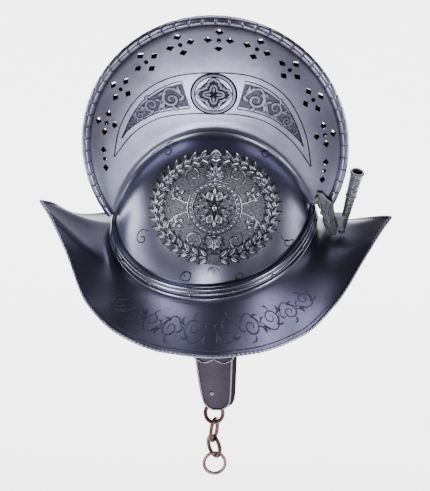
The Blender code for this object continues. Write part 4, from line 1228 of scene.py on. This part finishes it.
def model_rivet(name):
    """A domed rivet head one metre in radius, with a flat seat and a dark ring round its foot."""
    bm = relief_mesh()
    rings = [
        [add_point(bm, (radius * math.cos(t), radius * math.sin(t), height), dark) for t in around(14)]
        for radius, height, dark in RIVET_SECTION
    ]
    join_rows(bm, rings, closed_columns=True)
    close_ends(bm, rings)
    return finished(bm, name, 70.0)


rivet_model = model_rivet("rivet_head")
rivet_places = []
for k in range(RIVET_COUNT):
    turn = 2 * math.pi * (k + 0.5) / RIVET_COUNT
    seat = ring_point(turn, 0.0, back + CORDON_THICKNESS + CORDON_FLUTE * RIVET_SEAT)
    out = Vector((math.cos(turn) / SKULL_HALF[0], -math.sin(turn) / SKULL_HALF[1], 0.0))
    rivet_places.append((seat, out.to_track_quat("Z", "Y").to_euler(), RIVET_RADIUS))
rivet_steel = burnished_steel(
    "darkened_rivet_steel", 2, bright="8b8a98", warm="5f5c69", rough=0.3, mottle=0.4
)
rivets = set_on_places("cordon_rivets", rivet_model, rivet_places, rivet_steel)
dressed(
    rivets,
    rivet_steel,
    "blackened_steel",
    *[f"cordon_rivet_{k + 1:02d}" for k in range(RIVET_COUNT)],
)

# Plume holder. A tapered tube for the plume's stem on a leaf-shaped clip that straddles the
# rear end of the comb, cast together in pewter with raised scrolls and left matt.
TUBE_FOOT = Vector((0.1284593, 0.0, 0.0169599))
TUBE_MOUTH = Vector((0.1399593, 0.0, 0.0899599))
TUBE_RADII = (0.0028, 0.0066)
TUBE_WALL = 0.0013
TUBE_BORE = 0.0550
TUBE_MIDDLE_RADIUS = 0.0047
TUBE_SIDES = 24
CLIP_TOP = Vector((0.1014757, 0.0700002))
CLIP_LENGTH = 0.0530
CLIP_HALVES = (0.0060, 0.0082)
CLIP_SWELL = 0.0010
CLIP_STEPS = (
    # share of the outline, patina
    (0.93, 0.1),
    (0.70, 0.35),
    (0.40, 0.35),
    (0.10, 0.2),
)
# The web between leaf and tube: its ends along X, its faces, and its foot and top
WEB_X = (CLIP_TOP.x + 0.0170, TUBE_FOOT.x + 0.0015)
WEB_Y = (-0.0035, 0.0035)
WEB_Z = (CLIP_TOP.y - 0.0485, CLIP_TOP.y - 0.0310)
CLIP_LEAF = (
    (0.00, 0.00), (0.10, 0.02), (0.19, 0.14), (0.29, 0.22), (0.34, 0.40), (0.36, 0.60), (0.42, 0.84),
    (0.40, 0.97), (0.30, 0.96), (0.20, 0.82), (0.13, 0.66), (0.13, 0.52), (0.07, 0.47), (0.10, 0.38),
    (0.02, 0.31), (0.06, 0.21), (-0.03, 0.14), (0.02, 0.08),
)  # fmt: skip


def cast_pewter(name):
    """Sand-cast pewter: pale grey, matt and faintly grainy, dark where the scrolls are deep and with
    painted shade inside the bore.
    """
    material = burnished_steel(name, 2, bright="9a9aa4", warm="6c6c75", rough=0.4, mottle=0.5)
    tree = material.node_tree
    place = tree.nodes["Texture Coordinate"]
    grain = add_node(
        tree, "ShaderNodeTexNoise", {"Vector": (place, "Object")}, Scale=900.0, Detail=2.0
    )
    lumps = add_node(
        tree, "ShaderNodeBump", {"Height": (grain, "Fac")}, Strength=0.5, Distance=0.0003
    )
    tree.links.new(lumps.outputs["Normal"], tree.nodes["Principled BSDF"].inputs["Normal"])
    return material


tube_way = (TUBE_MOUTH - TUBE_FOOT).normalized()
tube_length = (TUBE_MOUTH - TUBE_FOOT).length
tube_side = Vector((0.0, 1.0, 0.0))
tube_out = tube_way.cross(tube_side).normalized()


def on_tube(round_it, along):
    """A point of the tube's outside at a distance round it, taken at its middle, and along it."""
    turn = round_it / TUBE_MIDDLE_RADIUS
    radius = TUBE_RADII[0] + (TUBE_RADII[1] - TUBE_RADII[0]) * along / tube_length
    way = tube_side * math.cos(turn) + tube_out * math.sin(turn)
    return TUBE_FOOT + tube_way * along + way * radius, way


def tube_ring(along, inward=0.0):
    """A ring of the tube's points, a distance inside its outer surface."""
    ring = []
    for turn in around(TUBE_SIDES):
        place, way = on_tube(turn * TUBE_MIDDLE_RADIUS, along)
        ring.append(place - way * inward)
    return ring


holder_bm = relief_mesh()
loops = [[TUBE_FOOT + (place - TUBE_FOOT) * 0.3 for place in tube_ring(0.0)]]
loops += [tube_ring(tube_length * k / 14) for k in range(15)]
loops += [tube_ring(tube_length - depth, TUBE_WALL) for depth in (0.0, 0.003, TUBE_BORE)]
made = add_rows(holder_bm, loops, closed_columns=True)
close_ends(holder_bm, made)
# The inside of the bore is painted dark as shade
for row in made[-2:]:
    for vert in row:
        vert[holder_bm.verts.layers.float["patina"]] = 1.0
for along, half in ((0.0015, 0.0009), (tube_length - 0.0016, 0.0011), (tube_length * 0.62, 0.0006)):
    band = [Vector((turn * TUBE_MIDDLE_RADIUS, along)) for turn in around(TUBE_SIDES)]
    add_strip(holder_bm, band, half, 0.0008, RAISED, on_tube, closed=True)
for side in (0, 1):
    for path, widths in running_scroll(
        tube_length * 0.88, lambda along: 0.0022 + 0.024 * along, 7, 1.08
    ):
        path = [Vector((p.y + side * math.pi * TUBE_MIDDLE_RADIUS, p.x + 0.005)) for p in path]
        add_strip(holder_bm, path, [max(w, 0.0003) for w in widths], 0.0007, RAISED, on_tube)

leaf_outline = [
    Vector((CLIP_TOP.x + CLIP_LENGTH * a, CLIP_TOP.y - CLIP_LENGTH * b)) for a, b in CLIP_LEAF
]
leaf_heart = Vector((CLIP_TOP.x + CLIP_LENGTH * 0.20, CLIP_TOP.y - CLIP_LENGTH * 0.45))
leaf_count = len(leaf_outline) * 3
leaf_edge = []
for k in range(leaf_count):
    a, b = leaf_outline[k // 3], leaf_outline[(k // 3 + 1) % len(leaf_outline)]
    leaf_edge.append(a.lerp(b, (k % 3) / 3))
for sign in (-1, 1):

    def leaf_height(share):
        return sign * (CLIP_HALVES[1] + CLIP_SWELL * (1 - share * share))

    rings = []
    sections = [(1.0, sign * CLIP_HALVES[0], 1.0), (1.0, leaf_height(1.0) - sign * 0.0005, 0.7)]
    sections += [(share, leaf_height(share), dark) for share, dark in CLIP_STEPS]
    for share, y, dark in sections:
        ring = []
        for spot in leaf_edge:
            near = leaf_heart.lerp(spot, share)
            ring.append(add_point(holder_bm, (near.x, y, near.y), dark))
        rings.append(ring)
    join_rows(holder_bm, rings, closed_columns=True)
    close_ends(holder_bm, rings)

    def on_leaf(u, v):
        far = (Vector((u, v)) - leaf_heart).length / (0.5 * CLIP_LENGTH)
        return Vector((u, leaf_height(min(far, 1.0)), v)), Vector((0.0, sign, 0.0))

    base = leaf_outline[8].lerp(leaf_outline[7], 0.5)
    for tip in (0, 2, 3, 5, 12, 14, 16, 10):
        end = leaf_heart.lerp(leaf_outline[tip], 0.86)
        start = base.lerp(leaf_heart, 0.55 if tip in (0, 2, 16) else 0.3)
        bar = bow(start, end, 0.08 if tip < 6 else -0.08, 10)
        add_strip(holder_bm, bar, tapered(11, 0.0011, 0.7, 0.3), 0.0009, RAISED, on_leaf)
web = [[Vector((WEB_X[i], WEB_Y[j], z)) for i, j in ((0, 0), (1, 0), (1, 1), (0, 1))] for z in WEB_Z]
web_rows = add_rows(holder_bm, web, closed_columns=True)
close_ends(holder_bm, web_rows)
holder = finished(holder_bm, "plume_tube_and_leaf", 45.0)
dressed(holder, cast_pewter("sand_cast_pewter"), "cast_pewter", "plume_holder")

# Cheek pieces. A black leather strap riveted inside the skull carries two steel sheets: an upper
# lame with a scalloped lower edge and a long plate below it, both with a raised border in lighter
# steel, rubbed bright and painted as a highlight.
CHEEK_X = 0.0040
STRAP_OUTER_Y = 0.0905
STRAP_THICKNESS = 0.0025
STRAP_TOP = (0.0120, 0.0180)
STRAP_OVERHANG = 0.0038
STRAP_BEVEL = 0.0006
STRAP_RIVETS = (-0.0070, 0.0070)
STRAP_RIVET_Z = 0.0080
PLATE_SHEET = 0.0013
PLATE_Z = (-0.0680, -0.1395)
PLATE_HALF = 0.0190
PLATE_BULGE = 0.0022
PLATE_STAND_OFF = (0.0004, 0.0052)
LAME_Z = (-0.0060, -0.0760)
LAME_SIDES = (-1.06, 1.04)
LAME_SCALLOP = 0.0050
CHEEK_OUTLINE = (
    # depth, front, rear
    (0.00, -1.04, 1.00),
    (0.30, -0.93, 0.98),
    (0.55, -0.82, 0.96),
    (0.75, -0.70, 0.94),
    (0.88, -0.58, 0.88),
    (0.96, -0.36, 0.72),
    (1.00, -0.10, 0.45),
)
CHEEK_RIVET = (0.0020, -0.1175)


def stand_off(z):
    share = max(0.0, min(1.0, (PLATE_Z[0] - z) / (PLATE_Z[0] - PLATE_Z[1])))
    return PLATE_STAND_OFF[0] + (PLATE_STAND_OFF[1] - PLATE_STAND_OFF[0]) * share


def cheek_side(depth, column):
    rows = [row[0] for row in CHEEK_OUTLINE]
    return PLATE_HALF * float(np.interp(depth, rows, [row[column] for row in CHEEK_OUTLINE]))


def on_plate(u, z):
    """The plate's outer face at a distance from the strap's middle line."""
    share = u / PLATE_HALF
    y = STRAP_OUTER_Y + stand_off(z) + PLATE_SHEET + PLATE_BULGE * max(0.0, 1 - share * share)
    normal = Vector((2 * PLATE_BULGE * share / PLATE_HALF, -1.0, 0.0)).normalized()
    return Vector((CHEEK_X + u, -y, z)), normal


def on_lame(u, z):
    place, normal = on_plate(u, z)
    return place + Vector((0.0, -PLATE_SHEET - 2 * GAP, 0.0)), normal


def outline_of(rows):
    """What lies round the edge of a patch of rows, in order."""
    ends = [row[0] for row in rows[-2:0:-1]]
    return rows[0] + [row[-1] for row in rows[1:-1]] + rows[-1][::-1] + ends


def add_sheet(bm, rows, onto, thickness):
    """A closed sheet over rows of flat points, its inner face a thickness behind. Returns its
    outline in flat points."""
    front = [[onto(p.x, p.y)[0] for p in row] for row in rows]
    back = [[p + Vector((0.0, thickness, 0.0)) for p in row] for row in front]
    rims = [outline_of(add_rows(bm, face)) for face in (front, back)]
    join_rows(bm, rims, closed_columns=True)
    return outline_of(rows)


def inset_outline(outline, distance):
    """An outline moved inwards by a distance, its corners rounded by the neighbours' average."""
    count = len(outline)
    middle = sum(outline, Vector((0.0, 0.0))) / count
    moved = []
    for k, point in enumerate(outline):
        way = outline[(k + 1) % count] - outline[k - 1]
        side = Vector((-way.y, way.x)).normalized()
        moved.append(point + side * (distance if side.dot(middle - point) > 0 else -distance))
    return moved


plate_bm = relief_mesh()
depths = [0.0, 0.08, 0.2, 0.35, 0.5, 0.62, 0.72, 0.80, 0.86, 0.91, 0.95, 0.98, 1.0]
plate_rows = []
for depth in depths:
    z = PLATE_Z[0] + (PLATE_Z[1] - PLATE_Z[0]) * depth
    low, high = cheek_side(depth, 1), cheek_side(depth, 2)
    plate_rows.append([Vector((low + (high - low) * k / 12, z)) for k in range(13)])
rim_line = inset_outline(add_sheet(plate_bm, plate_rows, on_plate, PLATE_SHEET), 0.0016)
rim_bm = relief_mesh()
add_strip(rim_bm, rim_line, 0.0011, 0.0013, RAISED, on_plate, closed=True)
HANGER = (-0.1375, 0.0014)
pin_y = -(STRAP_OUTER_Y + stand_off(HANGER[0]) + PLATE_SHEET)
pin_place = Matrix.Translation((CHEEK_X, (pin_y - STRAP_OUTER_Y) / 2, HANGER[0]))
bmesh.ops.create_cone(
    plate_bm,
    cap_ends=True,
    segments=12,
    radius1=HANGER[1],
    radius2=HANGER[1],
    depth=abs(pin_y) - STRAP_OUTER_Y,
    matrix=pin_place @ Matrix.Rotation(math.pi / 2, 4, "X"),
)

lame_bm = relief_mesh()
lame_rows = []
for j in range(15):
    down = j / 14
    row = []
    for k in range(21):
        t = k / 20
        drop = LAME_SCALLOP * (abs(math.sin(2 * math.pi * t)) - 0.5) * down**3
        z = LAME_Z[0] + (LAME_Z[1] - LAME_Z[0]) * down - drop
        row.append(Vector((PLATE_HALF * (LAME_SIDES[0] + (LAME_SIDES[1] - LAME_SIDES[0]) * t), z)))
    lame_rows.append(row)
lame_line = inset_outline(add_sheet(lame_bm, lame_rows, on_lame, PLATE_SHEET), 0.0014)
add_strip(rim_bm, lame_line, 0.0009, 0.0011, RAISED, on_lame, closed=True)

strap_bm = relief_mesh()
strap_rows = []
strap_stations = [(STRAP_TOP[1] - k * 0.004, -STRAP_TOP[0], STRAP_TOP[0]) for k in range(7)]
for depth in [0.0] + depths:
    z = PLATE_Z[0] + (PLATE_Z[1] - STRAP_OVERHANG - PLATE_Z[0]) * depth
    strap_stations.append(
        (z, cheek_side(depth, 1), cheek_side(depth, 2) + (STRAP_OVERHANG if depth > 0 else 0.0))
    )
for z, low, high in strap_stations:
    thick = STRAP_THICKNESS / 2
    grain = [(low, 0.6), (low + STRAP_BEVEL, 1), (0, 1), (high - STRAP_BEVEL, 1), (high, 0.6)]
    flesh = [(across, -out) for across, out in reversed(grain)]
    section = []
    for across, out in grain + flesh:
        section.append(Vector((CHEEK_X + across, -(STRAP_OUTER_Y - thick + thick * out), z)))
    strap_rows.append(section)
strap_made = add_rows(strap_bm, strap_rows, closed_columns=True)
close_ends(strap_bm, strap_made)

leather = bpy.data.materials.new("vegetable_tanned_black_leather")
leather.use_nodes = True
leather_tree = leather.node_tree
leather_shader = leather_tree.nodes["Principled BSDF"]
leather_place = add_node(leather_tree, "ShaderNodeTexCoord")
# Pores about 0.8 mm apart and folds a few millimetres long give leather its dull, broken sheen
pores = add_node(
    leather_tree, "ShaderNodeTexVoronoi", {"Vector": (leather_place, "Object")}, Scale=1250.0
)
folds = add_node(
    leather_tree,
    "ShaderNodeTexNoise",
    {"Vector": (leather_place, "Object")},
    Scale=180.0,
    Detail=4.0,
)
leather_tone = add_node(leather_tree, "ShaderNodeMix", {"Factor": (folds, "Fac")}, data_type="RGBA")
leather_tone.inputs[6].default_value = linear("0d0b0b")
leather_tone.inputs[7].default_value = linear("1d1817")
leather_tree.links.new(leather_tone.outputs[2], leather_shader.inputs["Base Color"])
leather_rough = add_node(
    leather_tree, "ShaderNodeMapRange", {"Value": (folds, "Fac")}, To_Min=0.42, To_Max=0.70
)
leather_tree.links.new(leather_rough.outputs["Result"], leather_shader.inputs["Roughness"])
leather_bump = add_node(
    leather_tree, "ShaderNodeBump", {"Height": (pores, "Distance")}, Strength=0.4, Distance=0.0003
)
leather_tree.links.new(leather_bump.outputs["Normal"], leather_shader.inputs["Normal"])
leather_shader.inputs["IOR"].default_value = 1.50
leather_shader.inputs["Specular IOR Level"].default_value = 0.2

cheek_steel = burnished_steel(
    "mauve_tinted_cheek_steel", 2, bright="5b5462", warm="352c33", rough=0.25, mottle=0.6
)
# The raised rims get a lighter steel than the plates: rubbed bright, and a painted highlight along
# them
rim_steel = burnished_steel(
    "rubbed_cheek_rim_steel", 2, bright="a5a2b0", warm="6e6a78", rough=0.3, mottle=0.3
)
for piece in both_sides(rim_bm, "cheek_rims_left"):
    dressed(piece, rim_steel, "polished_steel")
for bm, kind, material, slot in (
    (plate_bm, "cheek_plate", cheek_steel, "polished_steel"),
    (lame_bm, "cheek_lame", cheek_steel, "polished_steel"),
    (strap_bm, "cheek_strap", leather, "black_leather"),
):
    for piece, side in zip(both_sides(bm, kind + "_sheet_left", 40.0), ("left", "right")):
        dressed(piece, material, slot, f"{kind}_{side}")

cheek_face = on_plate(CHEEK_RIVET[0] - CHEEK_X, CHEEK_RIVET[1])[0]
strap_inside = STRAP_OUTER_Y - STRAP_THICKNESS
cheek_places, strap_places = [], []
for sign in (1, -1):
    out = Vector((0.0, -sign, 0.0))
    facing_out = out.to_track_quat("Z", "Y").to_euler()
    facing_in = (-out).to_track_quat("Z", "Y").to_euler()
    cheek_places.append(
        (Vector((CHEEK_RIVET[0], cheek_face.y * sign, CHEEK_RIVET[1])), facing_out, 0.0026)
    )
    cheek_places.append(
        (Vector((CHEEK_RIVET[0], -strap_inside * sign, CHEEK_RIVET[1])), facing_in, 0.0020)
    )
    for offset in STRAP_RIVETS:
        strap_places.append(
            (Vector((CHEEK_X + offset, -strap_inside * sign, STRAP_RIVET_Z)), facing_in, 0.0020)
        )
cheek_rivets = set_on_places("cheek_rivet_heads", rivet_model, cheek_places, rivet_steel)
dressed(cheek_rivets, rivet_steel, "blackened_steel", "cheek_rivet_left", "cheek_rivet_right")
strap_rivets = set_on_places("strap_rivet_heads", rivet_model, strap_places, rivet_steel)
strap_nodes = [f"strap_rivet_{side}_{end}" for side in ("left", "right") for end in ("front", "rear")]
dressed(strap_rivets, rivet_steel, "blackened_steel", *strap_nodes)
bpy.data.objects.remove(rivet_model, do_unlink=True)

# Chain. Three oval links and a ring bent from coppered iron wire 3.2 and 2.9 mm thick, closed
# with a butt joint, that hang from the pin of the left cheek piece. The right one carries a
# plain hook. Worn and lumpy, the wire is drawn a little fuller than it measures.
WIRE = 0.0032
LINK_SWELL = 0.0005
RING_SWELL = 0.0004
LINK_SIZE = (0.0212, 0.0305)
LINK_TURNS = (0.0, 70.0, -46.0)
LINK_PLAY = 0.0003
RING_OUTER = 0.0126
RING_WIRE = 0.0029
CHAIN_Y = -(STRAP_OUTER_Y + 0.5 * (stand_off(HANGER[0]) + PLATE_BULGE))


def coppered_wire(name, bright, dark):
    """Iron wire flashed with copper: bright red-brown on the rubbed bends, dull brown between,
    with drawing marks round it about half a millimetre apart."""
    material = bpy.data.materials.new(name)
    material.use_nodes = True
    tree = material.node_tree
    shader = tree.nodes["Principled BSDF"]
    shader.inputs["Metallic"].default_value = 1.0
    place = add_node(tree, "ShaderNodeTexCoord")
    wear = add_node(
        tree, "ShaderNodeTexNoise", {"Vector": (place, "Object")}, Scale=45.0, Detail=2.0
    )
    span = add_node(
        tree, "ShaderNodeMapRange", {"Value": (wear, "Fac")}, From_Min=0.35, From_Max=0.68
    )
    tone = add_node(tree, "ShaderNodeMix", {"Factor": (span, "Result")}, data_type="RGBA")
    tone.inputs[6].default_value = linear(dark)
    tone.inputs[7].default_value = linear(bright)
    tree.links.new(tone.outputs[2], shader.inputs["Base Color"])
    dull = add_node(tree, "ShaderNodeMapRange", {"Value": (wear, "Fac")}, To_Min=0.55, To_Max=0.38)
    tree.links.new(dull.outputs["Result"], shader.inputs["Roughness"])
    marks = add_node(tree, "ShaderNodeTexNoise", {"Vector": (place, "Object")}, Scale=1500.0)
    bump = add_node(
        tree, "ShaderNodeBump", {"Height": (marks, "Fac")}, Strength=0.2, Distance=0.0002
    )
    tree.links.new(bump.outputs["Normal"], shader.inputs["Normal"])
    return material


def add_wire(bm, points, radius, closed=True, sides=12):
    """A round wire along points, its section carried along without twisting."""
    count = len(points)
    rows = []
    side = None
    for k, point in enumerate(points):
        ahead = points[(k + 1) % count] if closed else points[min(k + 1, count - 1)]
        behind = points[k - 1] if closed or k else points[0]
        way = (ahead - behind).normalized()
        if side is None:
            side = way.orthogonal().normalized()
        side = (side - way * side.dot(way)).normalized()
        other = way.cross(side)
        ways = [side * math.cos(t) + other * math.sin(t) for t in around(sides)]
        rows.append([point + way * radius for way in ways])
    made = add_rows(bm, rows, closed_columns=True, closed_rows=closed)
    if not closed:
        close_ends(bm, made)


link_bm = bmesh.new()
link_path = []
half_width, half_length = (LINK_SIZE[0] - WIRE) / 2, (LINK_SIZE[1] - WIRE) / 2
for k in range(48):
    turn = 2 * math.pi * (k + 0.5) / 48
    link_path.append(Vector((half_width * math.sin(turn), 0.0, half_length * math.cos(turn))))
add_wire(link_bm, link_path, WIRE / 2 + LINK_SWELL)
link_model = finished(link_bm, "chain_link_model", 60.0)
link_places = []
carrier_top = HANGER[0] + HANGER[1]
for turn in LINK_TURNS:
    middle = carrier_top + LINK_PLAY + WIRE - LINK_SIZE[1] / 2
    link_places.append((Vector((CHEEK_X, CHAIN_Y, middle)), (0.0, 0.0, math.radians(turn)), 1.0))
    carrier_top = middle - LINK_SIZE[1] / 2 + WIRE
copper = coppered_wire("coppered_iron_wire", "84645c", "3d2a27")
links = set_on_places("chain_links", link_model, link_places, copper)
bpy.data.objects.remove(link_model, do_unlink=True)
dressed(links, copper, "coppered_wire", "chain_link_1", "chain_link_2", "chain_link_3")

ring_bm = bmesh.new()
ring_middle = RING_OUTER - RING_WIRE / 2
ring_path = [Vector((math.sin(a), 0.0, math.cos(a) - 1)) * ring_middle for a in around(56)]
add_wire(ring_bm, ring_path, RING_WIRE / 2 + RING_SWELL)
ring_turn = Matrix.Rotation(math.radians(8.0), 4, "Z") @ Matrix.Rotation(
    math.radians(-28.0), 4, "X"
)
bmesh.ops.transform(
    ring_bm,
    matrix=Matrix.Translation((CHEEK_X, CHAIN_Y, carrier_top + LINK_PLAY + RING_WIRE / 2)) @ ring_turn,
    verts=ring_bm.verts,
)
ring = finished(ring_bm, "end_ring", 60.0)
dressed(
    ring, coppered_wire("rubbed_coppered_ring", "b39a92", "76605a"), "coppered_wire", "chain_ring"
)

HOOK_WIRE = 0.0024
HOOK_BEND = 0.0050
HOOK_DROP = 0.0190
hook_bm = bmesh.new()
hook_eye = HANGER[1] + LINK_PLAY + HOOK_WIRE / 2
hook_path = [
    Vector((math.cos(a), 0.0, math.sin(a))) * hook_eye
    for a in [math.radians(150 - 270 * k / 20) for k in range(21)]
]
hook_path += [
    Vector((HOOK_BEND * (1 + math.cos(a)) - hook_eye, 0.0, HOOK_BEND * math.sin(a) - HOOK_DROP))
    for a in [math.radians(180 + 210 * k / 18) for k in range(19)]
]
add_wire(
    hook_bm,
    [p + Vector((CHEEK_X, -CHAIN_Y, HANGER[0])) for p in hook_path],
    HOOK_WIRE / 2,
    closed=False,
)
hook = finished(hook_bm, "ring_hook", 60.0)
dressed(hook, copper, "coppered_wire", "clasp_hook")

# Stage, light and camera. A pale floor far below the hanging chain that glows as a backdrop with
# painted light, a soft white room and five soft boxes, seen from the wearer's left and 36 degrees
# above.
VIEW_AZIMUTH = math.radians(2.353)
VIEW_ELEVATION = math.radians(36.0)
VIEW_DISTANCE = 1.25
VIEW_LENS = 89.9
VIEW_TARGET = Vector((0.00117, -0.00262, -0.00139))
FLOOR_Z = -0.75

floor_bm = bmesh.new()
bmesh.ops.create_grid(
    floor_bm, x_segments=1, y_segments=1, size=30.0, matrix=Matrix.Translation((0, 0, FLOOR_Z))
)
floor = finished(floor_bm, "floor")
floor_material = bpy.data.materials.new("pale_floor")
floor_material.use_nodes = True
floor_shader = floor_material.node_tree.nodes["Principled BSDF"]
floor_shader.inputs["Base Color"].default_value = linear("8f8f8f")
floor_shader.inputs["Roughness"].default_value = 0.9
floor_shader.inputs["Emission Strength"].default_value = 5.0
# The floor glows with painted light, bright behind the helmet and falling off towards the front as in
# a light tent
floor_tree = floor_material.node_tree
floor_place = add_node(floor_tree, "ShaderNodeTexCoord")
floor_axes = add_node(floor_tree, "ShaderNodeSeparateXYZ", {"Vector": (floor_place, "Object")})
painted_glow_falloff = add_node(
    floor_tree, "ShaderNodeMapRange", {"Value": (floor_axes, "Y")}, interpolation_type="SMOOTHSTEP"
)
painted_glow_falloff.inputs["From Min"].default_value = -1.5
painted_glow_falloff.inputs["From Max"].default_value = 1.1
painted_glow_falloff.inputs["To Min"].default_value = 0.03
floor_tree.links.new(painted_glow_falloff.outputs["Result"], floor_shader.inputs["Emission Color"])
floor.data.materials.append(floor_material)

world = bpy.data.worlds.new("studio")
world.use_nodes = True
bpy.context.scene.world = world
world.node_tree.nodes["Background"].inputs["Color"].default_value = (1.0, 1.0, 1.0, 1.0)
world.node_tree.nodes["Background"].inputs["Strength"].default_value = 0.09


def soft_box(name, place, aim, size, power):
    light = bpy.data.lights.new(name, "AREA")
    light.shape = "RECTANGLE"
    light.size, light.size_y = size
    light.energy = power
    made = bpy.data.objects.new(name, light)
    bpy.context.scene.collection.objects.link(made)
    made.location = place
    made.rotation_euler = (Vector(place) - Vector(aim)).to_track_quat("Z", "Y").to_euler()
    made.visible_camera = False


soft_box("left_box", (-1.15, -1.25, 0.75), (0, 0, 0.05), (0.55, 1.3), 25.0)
soft_box("right_box", (1.15, -1.25, 0.75), (0, 0, 0.05), (0.55, 1.3), 25.0)
soft_box("top_box", (0.0, 0.75, 1.5), (0, 0, 0.1), (1.9, 0.8), 24.0)
soft_box("low_front_box", (-0.10, -1.15, -0.42), (0, 0, 0.19), (0.32, 0.16), 3.6)
soft_box("rear_box", (0.3, 1.6, 0.6), (0, 0, 0.05), (1.2, 1.0), 7.0)

camera_data = bpy.data.cameras.new("photo_view")
camera_data.lens = VIEW_LENS
camera = bpy.data.objects.new("photo_view", camera_data)
bpy.context.scene.collection.objects.link(camera)
back_way = Vector(
    (
        math.sin(VIEW_AZIMUTH) * math.cos(VIEW_ELEVATION),
        -math.cos(VIEW_AZIMUTH) * math.cos(VIEW_ELEVATION),
        math.sin(VIEW_ELEVATION),
    )
)
camera.location = VIEW_TARGET + back_way * VIEW_DISTANCE
camera.rotation_euler = back_way.to_track_quat("Z", "Y").to_euler()
bpy.context.scene.camera = camera
